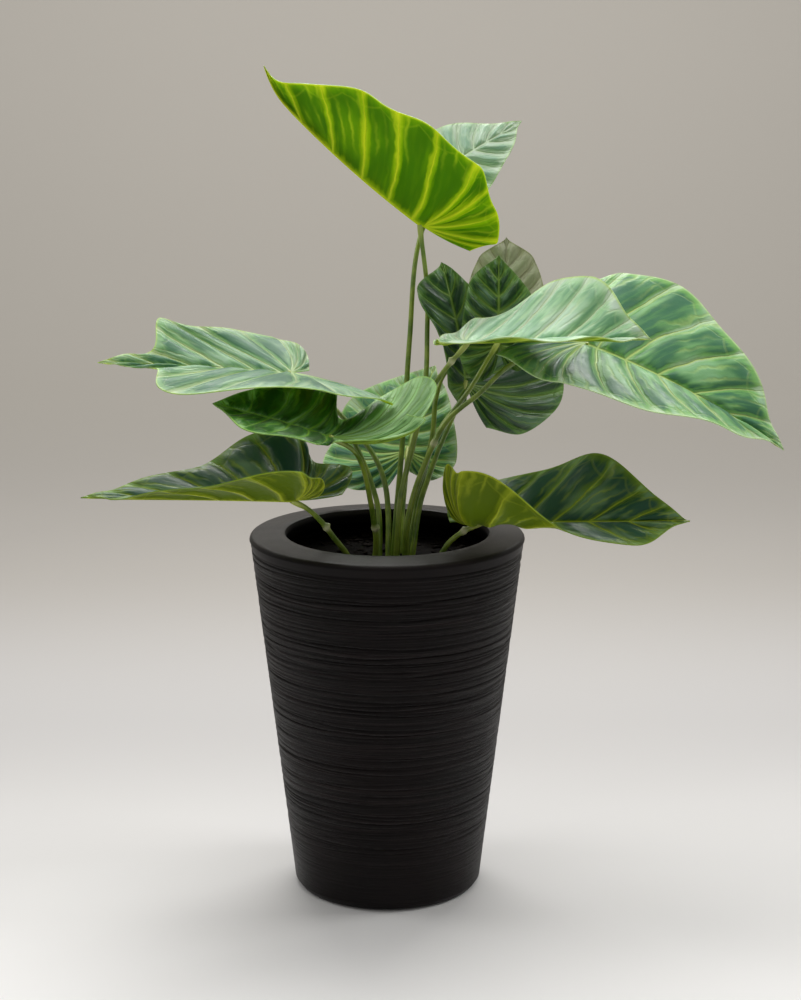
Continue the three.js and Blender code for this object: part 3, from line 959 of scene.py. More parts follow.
@dataclass(frozen=True)
class Veins:
    """The places and sizes of the veins of a half blade, in millimetres or as shares.

    The soft spans tell where a vein begins and ends to fade, those of the lateral veins and of the
    midrib as shares of its width. Cells count the cells of the noise that makes things uneven. The
    last three tell how soon the swelling is in full from the margin, the tip and the sinus.
    """

    laterals: int = 11
    core: float = 1.1
    core_at_margin: float = 0.35
    core_soft: Span = (0.35, 2.2)
    core_fade: tuple[float, float, float, float] = (0.7, 1.0, 1.0, 0.35)
    midrib: float = 1.6
    midrib_soft: Span = (0.5, 1.7)
    sway: Span = (0.2, -0.1)
    branches: float = 3.0
    branch_wander: float = 1.2
    branch_slant: float = 0.9
    branch_width: float = 0.24
    branch_start: Span = (0.15, 0.5)
    branch_gaps: Span = (0.4, 0.62)
    arch_inset: float = 9.5
    arch_rise: float = 7.0
    arch_wander: float = 5.0
    arch_soft: Span = (0.3, 1.6)
    arch_room: Span = (8.0, 14.0)
    arch_share: float = 0.4
    halo: float = 7.5
    halo_ragged: Span = (1.5, 0.1)
    edge: Span = (16.0, 2.0)
    rim: Span = (0.5, 1.9)
    cloud_cells: float = 38.0
    fine_cells: float = 170.0
    grain_cells: Span = (1.7, 1.5)
    thin_cells: Span = (7.0, 2.2)
    half_apart: float = 7.3
    pillow: float = 3.2
    pillow_reach: float = 6.5
    pillow_sink: float = 0.45
    pillow_room: float = 12.0
    margin_calm: float = 6
    tip_calm: float = 8
    sinus_calm: float = 12


@dataclass(frozen=True)
class VeinMap:
    """Where each point of a blade lies among the veins, as outputs of a material's graph."""

    v: Socket
    vein: Socket
    branches: Socket
    near: Socket
    edge: Socket
    rim: Socket
    grain: Socket
    thin: Socket
    fine: Socket


class BladePaint:
    """The materials of the leaves' upper sides and undersides."""

    def __init__(self, veins: Veins) -> None:
        """Keep the veins' sizes and make each tone's two materials.

        Args:
            veins: the sizes.
        """
        self.veins = veins
        self.upper = {tone: self.make(tone, finish, UPPER) for tone, finish in FINISHES.items()}
        self.under = {tone: self.make(tone, finish, UNDER) for tone, finish in FINISHES.items()}

    def make(self, tone: Tone, finish: LeafFinish, face: Face) -> bpy.types.Material:
        """Make the material of one face.

        Args:
            tone: the leaf's tone.
            finish: its colours.
            face: which face.

        Returns:
            The material.
        """
        g = Graph(f"leaf_{tone.value}_{face.name}")
        lie = self.lie(g)
        colour = self.colour(g, lie, finish, face)
        rough = finish.roughness + face.more_rough
        skin = g.surface(
            colour,
            g.ease(lie.fine, 0.3, 0.7, rough - 0.05, rough + 0.08),
            Normal=self.relief(g, lie, face),
            Specular_IOR_Level=finish.gloss if face is UPPER else finish.under_gloss,
            Sheen_Weight=finish.bloom if face is UPPER else finish.under_bloom,
            Sheen_Roughness=0.4,
        )
        glow = g.blend(1.0, colour, finish.glow, "MULTIPLY")
        return g.finish(g.translucent(skin, glow, finish.seen_through))

    def lie(self, g: Graph) -> VeinMap:
        """Work out where each point lies among the veins.

        Args:
            g: the material's graph.

        Returns:
            The outputs that the colour and the relief are made of.
        """
        sizes = self.veins
        pitch, to_midrib, to_margin = g.facts(BLADE_FACTS)
        across, v = g.cells()
        signed = g.line(across, 2.0, -1.0)
        j = g.math("ABSOLUTE", signed)
        cloud = g.noise(sizes.cloud_cells, 3.0, 0.55)
        order = g.line(v, float(sizes.laterals), g.line(cloud, *sizes.sway))
        gap = g.to_half(order)
        to_lateral = g.times(gap, pitch)
        wide = g.line(j, sizes.core_at_margin - sizes.core, sizes.core)
        lateral = g.ease(to_lateral, *(g.times(wide, share) for share in sizes.core_soft), 1.0, 0.0)
        midrib = g.ease(to_midrib, *(sizes.midrib * share for share in sizes.midrib_soft), 1.0, 0.0)
        vein = g.math("MAXIMUM", midrib, g.times(lateral, g.ease(j, *sizes.core_fade)))
        grain = self.streaks(g, order, signed, *sizes.grain_cells)
        thin = self.streaks(g, order, signed, *sizes.thin_cells)
        branch = g.line(cloud, sizes.branch_wander, g.times(order, sizes.branches))
        off = g.to_half(g.line(j, sizes.branch_slant, branch))
        branches = g.times(g.ease(off, 0.0, sizes.branch_width, 1.0, 0.0), g.ease(j, *sizes.branch_start))
        branches = g.times(branches, g.ease(grain, *sizes.branch_gaps))
        arch = g.line(g.times(gap, gap), -4.0 * sizes.arch_rise, sizes.arch_inset)
        arch = g.math("SUBTRACT", to_margin, g.line(cloud, sizes.arch_wander, arch))
        arches = g.ease(g.math("ABSOLUTE", arch), *sizes.arch_soft, 1.0, 0.0)
        arches = g.times(arches, g.ease(pitch, *sizes.arch_room, 0.0, sizes.arch_share))
        halo = g.line(thin, *(sizes.halo * share for share in sizes.halo_ragged))
        return VeinMap(
            v=v,
            vein=vein,
            branches=g.math("MAXIMUM", branches, arches),
            near=g.ease(g.math("MINIMUM", to_lateral, to_midrib), 0.0, halo, 1.0, 0.0),
            edge=g.ease(to_margin, sizes.rim[0], g.line(thin, *sizes.edge), 1.0, 0.0),
            rim=g.ease(to_margin, *sizes.rim, 1.0, 0.0),
            grain=grain,
            thin=thin,
            fine=g.noise(sizes.fine_cells, 4.0, 0.6),
        )

    def streaks(self, g: Graph, order: Socket, signed: Socket, across: float, along: float) -> Socket:
        """Return noise drawn out along the lateral veins.

        Args:
            g: the material's graph.
            order: the count of veins from the tip.
            signed: the place between the midrib and the margins, -1 to 1.
            across: noise cells from vein to vein.
            along: noise cells from midrib to margin.

        Returns:
            The noise, about 0.5.
        """
        x, y = g.times(order, across), g.times(signed, along)
        half = g.times(g.math("SIGN", signed), self.veins.half_apart)
        place = g.add("CombineXYZ", {0: x, 1: y, 2: half})
        return g.noise(1.0, 2.0, 0.55, where=place.outputs[0])

    def colour(self, g: Graph, lie: VeinMap, finish: LeafFinish, face: Face) -> Socket:
        """Colour a face: dark fields, light along the veins and the margin, and streaks of painted gloss.

        Args:
            g: the material's graph.
            lie: where each point lies.
            finish: the leaf's colours.
            face: which face.

        Returns:
            The colour.
        """
        if face is UPPER:
            deep, mid, pale, vein, rim = finish.deep, finish.mid, finish.pale, finish.vein, finish.margin
        else:
            deep, mid, pale = finish.under_deep, finish.under_pale, finish.under_vein
            vein, rim = finish.under_vein, finish.under_vein
        light = g.line(lie.near, 0.5, finish.pallor)
        light = g.line(g.ease(lie.grain, 0.42, 0.7), face.grain_light, light)
        light = g.line(g.ease(lie.thin, 0.45, 0.7), face.thin_light, light)
        # Painted light and shade: the lobes are made lighter or darker by the finish's share.
        light = g.line(g.ease(lie.v, 0.5, 0.72), finish.lobe_painted_light, light)
        light = g.line(lie.edge, face.edge_light, light, clamp=True)
        bare = g.math("SUBTRACT", 1.0, lie.near)
        return g.coats(
            deep,
            (g.ease(light, 0.02, 0.5), mid),
            (g.ease(light, 0.4, 1.0), pale),
            # Painted gloss: pale streaks on the swellings, away from the veins, stand for the sheen of the
            # overhead light.
            (g.times(g.ease(lie.grain, 0.48, 0.68, 0.0, face.painted_gloss), bare), finish.painted_gloss),
            (g.times(lie.branches, 0.4), vein),
            (g.times(lie.vein, 0.8), vein),
            (g.times(lie.rim, 0.8), rim),
        )

    def relief(self, g: Graph, lie: VeinMap, face: Face) -> Socket:
        """Shade the veins as sunk on the upper side and raised on the underside.

        Args:
            g: the material's graph.
            lie: where each point lies.
            face: which face.

        Returns:
            The shading direction.
        """
        height = g.line(lie.vein, 1.2 * face.rise)
        height = g.line(lie.near, 1.5 * face.rise, height)
        height = g.line(lie.branches, 0.5 * face.rise, height)
        height = g.line(lie.fine, 0.3, height)
        return g.bump(g.line(lie.grain, 1.3, height), 0.0009, 0.9)


@dataclass
class Blade:
    """One leaf blade: a formed sheet, thickened, with quilting between its veins."""

    leaf: Leaf
    paint: BladePaint
    ribs: int = 132
    steps: int = 26
    thickness: float = 0.9

    def build(self) -> Piece:
        """Form the blade and dress it.

        Returns:
            The finished piece.
        """
        sheet = add_sheet(f"leaf_{self.leaf.name}", 2 * self.steps, self.ribs)
        x, y = cells_of(sheet, 2 * self.steps, self.ribs)
        v, j = (y + 1) / 2, np.abs(x)
        rib = Midrib(self.leaf)
        points = np.zeros((*v.shape, 3))
        reach = np.zeros(v.shape)
        for side in Side:
            part = np.sign(x) == side.value
            points[part], reach[part] = half_blade(self.leaf, rib, side, v[part], j[part])
        spine = x == 0
        points[spine] = rib.arc(spine_share(v[spine]) * rib.length)[0]
        reach[:, self.steps] = reach[:, self.steps + 1]
        points[0] = rib.arc(np.array([rib.length]))[0][0]
        along = np.linalg.norm(np.gradient(points, axis=0), axis=-1) * self.ribs
        pitch = along / self.paint.veins.laterals
        points = points + self.quilt(v, j, pitch, reach)[..., None] * self.facing(points)
        place_points(sheet, points)
        add_facts(sheet, BLADE_FACTS, np.stack([pitch, j * reach, (1 - j) * reach], axis=-1))
        merge_points(sheet)
        self.thicken(sheet)
        settle(sheet, [f"blade_{self.leaf.name}"])
        return sheet

    def facing(self, points: Array) -> Array:
        """Return the direction that the blade's upper side faces at each point of the table."""
        return unit(np.cross(np.gradient(points, axis=1), np.gradient(points, axis=0)))

    def quilt(self, v: Array, j: Array, pitch: Array, reach: Array) -> Array:
        """Swell the blade between its veins and sink it at them.

        Args:
            v: places round the outline, 0 at the tip and 1 at the sinus.
            j: places along the ribs, 0 at the midrib and 1 at the margin.
            pitch: the distance from one lateral vein to the next.
            reach: the length of the rib through each point.

        Returns:
            How far each point moves towards the upper side.
        """
        sizes = self.paint.veins
        order = v * sizes.laterals
        to_vein = np.minimum(np.abs(order - np.floor(order) - 0.5) * pitch, j * reach)
        swell = 1 - swelling(to_vein, sizes.pillow_reach)
        room = np.clip(pitch / sizes.pillow_room, 0.0, 1.0) * smooth((1 - j) * sizes.margin_calm)
        room = room * smooth(v * sizes.tip_calm)
        return sizes.pillow * (swell - sizes.pillow_sink) * room * smooth((1 - v) * sizes.sinus_calm)

    def thicken(self, sheet: Piece) -> None:
        """Give the sheet its thickness and its two faces their materials.

        Args:
            sheet: the formed sheet.
        """
        sheet.data.materials.append(self.paint.upper[self.leaf.tone])
        sheet.data.materials.append(self.paint.under[self.leaf.tone])
        solid = sheet.modifiers.new("thickness", "SOLIDIFY")
        solid.thickness = self.thickness * MM
        solid.offset = 0
        solid.material_offset = 1
        solid.material_offset_rim = 0
        apply_modifiers(sheet)
        shade_round(sheet, 60)


def smooth_route(stops: Sequence[Sequence[float]], shares: Array) -> Array:
    """Follow a centripetal curve through points.

    Args:
        stops: the points that the curve passes.
        shares: places along it, counted in stops, 0 at the first and 1 at the last.

    Returns:
        The points of the curve.
    """
    held = [np.asarray(p, float) for p in stops]
    held = [2 * held[0] - held[1], *held, 2 * held[-1] - held[-2]]
    legs = len(held) - 3
    found = []
    for share in shares:
        at = min(legs - 1e-9, max(0.0, share * legs))
        k = int(at)
        w = at - k
        p0, p1, p2, p3 = held[k : k + 4]
        pairs = ((p0, p1), (p1, p2), (p2, p3))
        d0, d1, d2 = (math.sqrt(float(np.linalg.norm(b - a))) for a, b in pairs)
        t1 = ((p1 - p0) / d0 - (p2 - p0) / (d0 + d1) + (p2 - p1) / d1) * d1
        t2 = ((p2 - p1) / d1 - (p3 - p1) / (d1 + d2) + (p3 - p2) / d2) * d1
        square, cube = -3 * p1 + 3 * p2 - 2 * t1 - t2, 2 * p1 - 2 * p2 + t1 + t2
        found.append(p1 + t1 * w + square * w**2 + cube * w**3)
    return np.array(found)


def even_route(route: Array, count: int) -> tuple[Array, Array]:
    """Space a route evenly.

    Args:
        route: the points of a fine route.
        count: the number of points wanted.

    Returns:
        The evenly spaced points, and their distances from the start.
    """
    walked = np.concatenate([[0.0], np.cumsum(np.linalg.norm(np.diff(route, axis=0), axis=1))])
    marks = np.linspace(0, walked[-1], count)
    return np.stack([np.interp(marks, walked, route[:, k]) for k in range(3)], axis=-1), marks


@dataclass(frozen=True)
class StalkFinish:
    """Olive green, darker at the foot, paler at the knee and at a scar, with fine streaks."""

    dark: Tint = (88, 116, 30)
    light: Tint = (132, 152, 52)
    streak: Tint = (166, 182, 92)
    foot: Tint = (70, 96, 24)
    knee: Tint = (196, 206, 104)
    scar: Tint = (214, 214, 170)
    foot_share: float = 0.25
    knee_length: Span = (5.0, 20.0)

    def make(self) -> bpy.types.Material:
        """Make the material.

        Returns:
            The material.
        """
        g = Graph("stalk_green")
        share, to_top, scar = g.facts(STALK_FACTS)
        streak = g.noise(1.0, 3.0, 0.6, stretch=(700.0, 700.0, 30.0))
        cloud = g.noise(48.0, 2.0, 0.5)
        colour = g.coats(
            self.dark,
            (g.ease(cloud, 0.35, 0.65), self.light),
            (g.ease(streak, 0.5, 0.7, 0.0, 0.3), self.streak),
            (g.ease(share, 0.0, self.foot_share, 0.5, 0.0), self.foot),
            (g.ease(to_top, *self.knee_length, 0.7, 0.0), self.knee),
            (g.times(scar, 0.9), self.scar),
        )
        normal = g.bump(g.line(streak, 0.5, g.times(cloud, 0.3)), 0.0002, 0.5)
        return g.finish(g.surface(colour, 0.3, Normal=normal, Specular_IOR_Level=0.6))


@dataclass
class Stalk:
    """One leaf stalk: a sheet rolled round its way from the soil to the blade."""

    leaf: Leaf
    material: bpy.types.Material
    around: int = 20
    along: int = 110
    end_depth: float = 0.5
    scar_length: float = 2.6
    scar_swell: float = 1.0
    bud_height: float = 2.6
    bud_length: float = 1.9
    bud_point: int = 7
    bud_lean: Place = (0.1, -0.5, 0.86)

    def route(self) -> tuple[Array, Array]:
        """Follow the stalk from its foot in the soil to the underside of its blade.

        Returns:
            Evenly spaced points, and their distances from the foot.
        """
        rib = Midrib(self.leaf)
        (end,), (normal,) = rib.arc(np.array([STALK_SEAT]))
        x, y = self.leaf.foot
        stops = [(x, y, SOIL_LEVEL + FOOT_RISE), *self.leaf.way, end - normal * self.end_depth]
        fine = smooth_route(stops, np.linspace(0, 1, 400))
        foot = np.array([[x, y, SOIL_LEVEL - FOOT_DEPTH], [x, y, SOIL_LEVEL - FOOT_DEPTH / 2]])
        return even_route(np.vstack([foot, fine]), self.along - 1)

    def radius(self, walked: Array) -> Array:
        """Taper the stalk, and swell it at the knee.

        Args:
            walked: distances from the foot.

        Returns:
            The radius at each.
        """
        share = np.clip((walked - FOOT_DEPTH) / (walked[-1] - FOOT_DEPTH), 0, 1)
        to_top = walked[-1] - walked
        knee = smooth(1 - np.abs(to_top - KNEE_LENGTH * KNEE_MIDDLE) / (KNEE_LENGTH * KNEE_REACH))
        return mix(mix(STALK_FOOT_RADIUS, STALK_TOP_RADIUS, share), KNEE_RADIUS, knee)

    def scar_and_bud(self, walked: Array) -> tuple[Array, Array]:
        """Find how much of the scar and of its bud lies at each distance.

        Args:
            walked: distances from the foot.

        Returns:
            The shares of the scar and those of the bud, from 0 to 1.
        """
        if self.leaf.scar is None:
            return np.zeros(len(walked)), np.zeros(len(walked))
        past = walked - self.leaf.scar * walked[-1]
        return swelling(past, self.scar_length), swelling(past - self.bud_length, self.bud_length)

    def rings(self, turn: Array, ahead: Array) -> Array:
        """Point outwards round the stalk, without a twist along it.

        Args:
            turn: the table of angles round the stalk.
            ahead: the stalk's direction at each row of the table.

        Returns:
            A direction for each angle.
        """
        side = np.zeros_like(ahead)
        held = np.array([1.0, 0.0, 0.0])
        for i, way in enumerate(ahead):
            held = held - way * float(held @ way)
            held = held / np.linalg.norm(held)
            side[i] = held
        other = np.cross(ahead, side)
        return np.cos(turn)[..., None] * side[:, None] + np.sin(turn)[..., None] * other[:, None]

    def build(self) -> Piece:
        """Roll the stalk and dress it.

        Returns:
            The finished piece.
        """
        piece = add_sheet(f"stem_{self.leaf.name}", self.around, self.along)
        x, _ = cells_of(piece, self.around, self.along)
        line, walked = self.route()
        rows = np.concatenate([[0], np.arange(len(line)), [len(line) - 1]])
        ahead = unit(np.gradient(line, axis=0))[rows]
        ring = self.rings(x * math.pi, ahead)
        scar, bud = self.scar_and_bud(walked)
        size = (self.radius(walked) + self.scar_swell * scar)[rows]
        size[[0, -1]] = 0
        lean = np.array(self.bud_lean)
        outwards = unit(lean - ahead * (ahead @ lean)[:, None])
        facing = np.clip(np.sum(ring * outwards[:, None], axis=-1), 0, 1) ** self.bud_point
        bump = self.bud_height * bud[rows][:, None] * facing * (size > 0)[:, None]
        place_points(piece, line[rows][:, None] + ring * (size[:, None] + bump)[..., None])
        facts = np.stack([walked / walked[-1], walked[-1] - walked, scar], axis=-1)[rows]
        add_facts(piece, STALK_FACTS, np.repeat(facts[:, None], self.around + 1, axis=1))
        merge_points(piece)
        face_outwards(piece)
        piece.data.materials.append(self.material)
        shade_round(piece, 60)
        settle(piece, [f"stalk_{self.leaf.name}"])
        return piece


def revolve(name: str, profile: Array, around: int, shape: Callable[[Array, Array], Array]) -> Piece:
    """Turn a profile round the upright axis into a closed piece.

    Args:
        name: the piece's name.
        profile: radius and height of each row, from the outside of the bottom's middle to the end.
        around: the number of cells round the axis.
        shape: changes the table of points, given the points and their angles.

    Returns:
        The piece, with its seam and its two ends closed.
    """
    piece = add_sheet(name, around, len(profile) - 1)
    x, _ = cells_of(piece, around, len(profile) - 1)
    angle = (x + 1) * math.pi
    radius = profile[:, 0][:, None]
    height = np.broadcast_to(profile[:, 1][:, None], angle.shape)
    points = np.stack([radius * np.cos(angle), radius * np.sin(angle), height], axis=-1)
    points = shape(points, angle)
    points[:, -1] = points[:, 0]
    place_points(piece, points)
    merge_points(piece)
    face_outwards(piece)
    return piece


def drawn_profile(corners: Sequence[Span], step: float) -> Array:
    """Divide the line through corners into short steps.

    Args:
        corners: radius and height of each corner.
        step: about the length of a step.

    Returns:
        Radius and height of each point.
    """
    rows = [np.array(corners[0], float)]
    for a, b in zip(corners, corners[1:]):
        count = max(1, round(math.dist(a, b) / step))
        rows += [mix(np.array(a, float), np.array(b, float), k / count) for k in range(1, count + 1)]
    return np.array(rows)


@dataclass(frozen=True)
class PotFinish:
    """Matte charcoal with fine level scratches.

    The ridges carry painted highlights, the top of the lip painted light and the cavity painted shade.
    """

    dark: Tint = (11, 7, 7)
    light: Tint = (18, 12, 12)
    # painted highlight on the combed ridges
    ridge_highlight: Tint = (44, 37, 37)
    scratch: Tint = (46, 41, 40)
    grain: Tint = (40, 36, 35)
    # painted light on the top of the lip
    lip: Tint = (46, 42, 40)
    # painted shade in the cavity
    inside: Tint = (4, 3, 3)
    gloss: float = 0.13
    gloss_inside: float = 0.03
    sheen: float = 0.1
    band_edge: Span = (0.317, 0.321)
    foot_edge: Span = (0.012, 0.09)
    mouth_edge: Span = (0.326, 0.331)
    lip_edge: Span = (0.328, 0.3315)
    skin: float = 0.009
    skin_edge: float = 0.003

    def within(self, g: Graph, where: Socket) -> Socket:
        """Tell the cavity from the outside.

        Args:
            g: the material's graph.
            where: the place on the pot.

        Returns:
            1 in the cavity and 0 elsewhere.
        """
        x, y, z = g.parts(where)
        out = g.math("SQRT", g.math("ADD", g.times(x, x), g.times(y, y)))
        skin = g.line(z, (RIM_RADIUS - FOOT_RADIUS) / POT_HEIGHT, FOOT_RADIUS * MM - self.skin)
        near = g.ease(out, g.math("SUBTRACT", skin, self.skin_edge), skin, 1.0, 0.0)
        return g.times(near, g.ease(z, *self.mouth_edge, 1.0, 0.0))

    def make(self) -> bpy.types.Material:
        """Make the material.

        Returns:
            The material.
        """
        g = Graph("charcoal_combed")
        where = g.place()
        comb = g.noise(1.0, 5.0, 0.7, stretch=(4.0, 4.0, 330.0), where=where)
        scratch = g.noise(1.0, 4.0, 0.65, stretch=(16.0, 16.0, 1400.0), where=where)
        grain = g.noise(900.0, 3.0, 0.6, where=where)
        cloud = g.noise(14.0, 4.0, 0.55, where=where)
        _, _, z = g.parts(where)
        wall = g.times(g.ease(z, *self.band_edge, 1.0, 0.0), g.ease(z, *self.foot_edge, 0.3, 1.0))
        inside = self.within(g, where)
        colour = g.coats(
            self.dark,
            (g.ease(cloud, 0.35, 0.65), self.light),
            # Painted highlights: the comb's ridges are lighter, where they catch the lamps.
            (g.times(g.ease(comb, 0.5, 0.72, 0.0, 0.8), wall), self.ridge_highlight),
            (g.ease(scratch, 0.55, 0.75, 0.0, 0.4), self.scratch),
            (g.ease(grain, 0.6, 0.8, 0.0, 0.3), self.grain),
            # Painted shade: the cavity is painted near black.
            (inside, self.inside),
            # Painted light: the top of the lip is lighter, where it faces the overhead lamps.
            (g.times(g.ease(z, *self.lip_edge), g.ease(grain, 0.2, 0.8, 0.3, 0.6)), self.lip),
        )
        normal = g.bump(g.times(g.line(comb, 1.6, scratch), wall), 0.0017, 0.8)
        skin = g.surface(
            colour,
            g.ease(cloud, 0.3, 0.7, 0.38, 0.5),
            Normal=g.bump(grain, 0.00025, 0.6, below=normal),
            Specular_IOR_Level=g.ease(inside, 0.0, 1.0, self.gloss, self.gloss_inside),
            Sheen_Weight=g.ease(inside, 0.0, 1.0, self.sheen, 0.0),
            Sheen_Roughness=0.22,
        )
        return g.finish(skin)


@dataclass
class Pot:
    """The tall tapered planter with its combed wall, plain band, flat rim and deep cavity.

    The grooves start at a share of the smooth foot's height and fade in and out over some height.
    """

    around: int = 192
    row_height: float = 0.68
    grooves: int = 104
    groove_depth: float = 1.25
    groove_width: float = 0.72
    deepest: float = 1.35
    widths: Span = (0.75, 1.6)
    depths: Span = (0.35, 1.0)
    swell: Span = (0.72, 0.28)
    jitter: float = 0.35
    wander: float = 2.4
    sways: tuple[int, ...] = (1, 2, 3, 5, 8)
    start_share: float = 0.55
    fade_in: Span = (70, 12)
    fade_share: float = 0.75
    fade_out: Span = (3, 5)
    skin: float = 4
    seed: int = 7

    def wall(self, z: float) -> float:
        """Return the outer radius at a height."""
        return mix(FOOT_RADIUS, RIM_RADIUS, z / POT_HEIGHT)

    def cavity(self, z: Amount) -> Amount:
        """Return the inner radius at a height."""
        share = (z - FLOOR_THICKNESS) / (POT_HEIGHT - LIP_THICKNESS - FLOOR_THICKNESS)
        return mix(CAVITY_FLOOR_RADIUS, CAVITY_TOP_RADIUS, share)

    def profile(self) -> Array:
        """Draw the pot's outline from the middle of its foot over the rim to the middle of its floor.

        Returns:
            Radius and height of each row.
        """
        rim = POT_HEIGHT - RIM_FALL
        under = POT_HEIGHT - LIP_THICKNESS
        edge = RIM_ROUNDING
        outside = [
            (0.0, 0.0),
            (FOOT_RADIUS - FOOT_ROUNDING, 0.0),
            (FOOT_RADIUS - FOOT_ROUNDING * 0.35, FOOT_ROUNDING * 0.3),
            (self.wall(FOOT_ROUNDING), FOOT_ROUNDING),
        ]
        top = (self.wall(rim - edge), rim - edge)
        wall = drawn_profile([outside[-1], top], self.row_height)
        turns = [math.radians(a) for a in (0, 22, 45, 68, 90)]
        corner = [
            (RIM_RADIUS - edge + edge * math.cos(a), rim - edge + edge * math.sin(a)) for a in turns
        ]
        lip = [
            (RIM_RADIUS - edge - 8, rim + 0.6),
            (MOUTH_RADIUS + 8, POT_HEIGHT - 0.3),
            (MOUTH_RADIUS + 3, POT_HEIGHT),
            (MOUTH_RADIUS + 1, POT_HEIGHT - 0.7),
            (MOUTH_RADIUS, POT_HEIGHT - 3),
            (MOUTH_RADIUS, under + 3),
            (MOUTH_RADIUS + 4, under),
            (CAVITY_TOP_RADIUS - 3, under),
            (self.cavity(under - 4), under - 4),
            (CAVITY_FLOOR_RADIUS, FLOOR_THICKNESS),
            (0.0, FLOOR_THICKNESS),
        ]
        return np.vstack([np.array(outside), wall[1:], np.array(corner), np.array(lip)])

    def groove(self, draw: np.random.Generator, middle: float, z: Array, angle: Array) -> Array:
        """Cut one wandering groove.

        Args:
            draw: the random draw.
            middle: the height that the groove wanders about.
            z: the heights of the wall's points.
            angle: their angles round the axis.

        Returns:
            The share of the groove's depth at each point.
        """
        line = np.full(z.shape, middle)
        for turns in self.sways:
            sway = self.wander * draw.normal() / (0.8 + turns)
            line = line + sway * np.sin(turns * angle + draw.uniform(0, FULL_TURN))
        wave = np.sin(draw.integers(1, 4) * angle + draw.uniform(0, FULL_TURN))
        strength = (self.swell[0] + self.swell[1] * wave) * draw.uniform(*self.depths)
        width = self.groove_width * draw.uniform(*self.widths)
        return strength * swelling(z - line, width)

    def comb(self, points: Array, angle: Array) -> Array:
        """Cut the combed grooves into the outer wall.

        Args:
            points: the table of the pot's points.
            angle: their angles round the axis.

        Returns:
            The points with the grooves.
        """
        draw = np.random.default_rng(self.seed)
        z = points[..., 2]
        radius = np.hypot(points[..., 0], points[..., 1])
        top = POT_HEIGHT - PLAIN_BAND
        low = SMOOTH_FOOT * self.start_share
        cut = np.zeros(z.shape)
        for k in range(self.grooves):
            middle = mix(low, top, (k + draw.uniform(-self.jitter, self.jitter)) / (self.grooves - 1))
            cut = cut + self.groove(draw, middle, z, angle)
        slow, fast = (smooth((z - low) / height) for height in self.fade_in)
        past, over = self.fade_out
        fade = mix(fast, slow, self.fade_share) * smooth((top + past - z) / over)
        outer = (radius > self.wall(0) - FOOT_ROUNDING) & (radius > self.cavity(z) + self.skin)
        depth = np.where(outer, self.groove_depth * np.minimum(cut, self.deepest) * fade, 0.0)
        points[..., :2] *= ((radius - depth) / np.maximum(radius, 1e-6))[..., None]
        return points

    def build(self) -> Piece:
        """Turn, comb and dress the pot.

        Returns:
            The finished piece.
        """
        piece = revolve("planter", self.profile(), self.around, self.comb)
        piece.data.materials.append(PotFinish().make())
        shade_round(piece, 40)
        settle(piece, ["pot"])
        return piece


@dataclass(frozen=True)
class SoilFinish:
    """Potting mix: crumbs in two colours, with darker patches."""

    name: str
    dark: Tint
    light: Tint

    def make(self) -> bpy.types.Material:
        """Make the material.

        Returns:
            The material.
        """
        g = Graph(self.name)
        crumbs = g.noise(420.0, 5.0, 0.65)
        patches = g.noise(60.0, 3.0, 0.5)
        light = (g.ease(crumbs, 0.35, 0.7), self.light)
        colour = g.coats(self.dark, light, (g.ease(patches, 0.5, 0.75, 0.0, 0.5), self.dark))
        normal = g.bump(crumbs, 0.002, 0.9)
        return g.finish(g.surface(colour, 0.95, Normal=normal, Specular_IOR_Level=0.06))


# The mix and its chips are near black: their own dark brown, darkened further as painted shade of the rim
# and the leaves above.
BED_FINISH = SoilFinish("potting_mix", dark=(4, 3, 2), light=(16, 12, 9))
CHIP_FINISH = SoilFinish("bark_chips", dark=(6, 4, 3), light=(26, 20, 15))


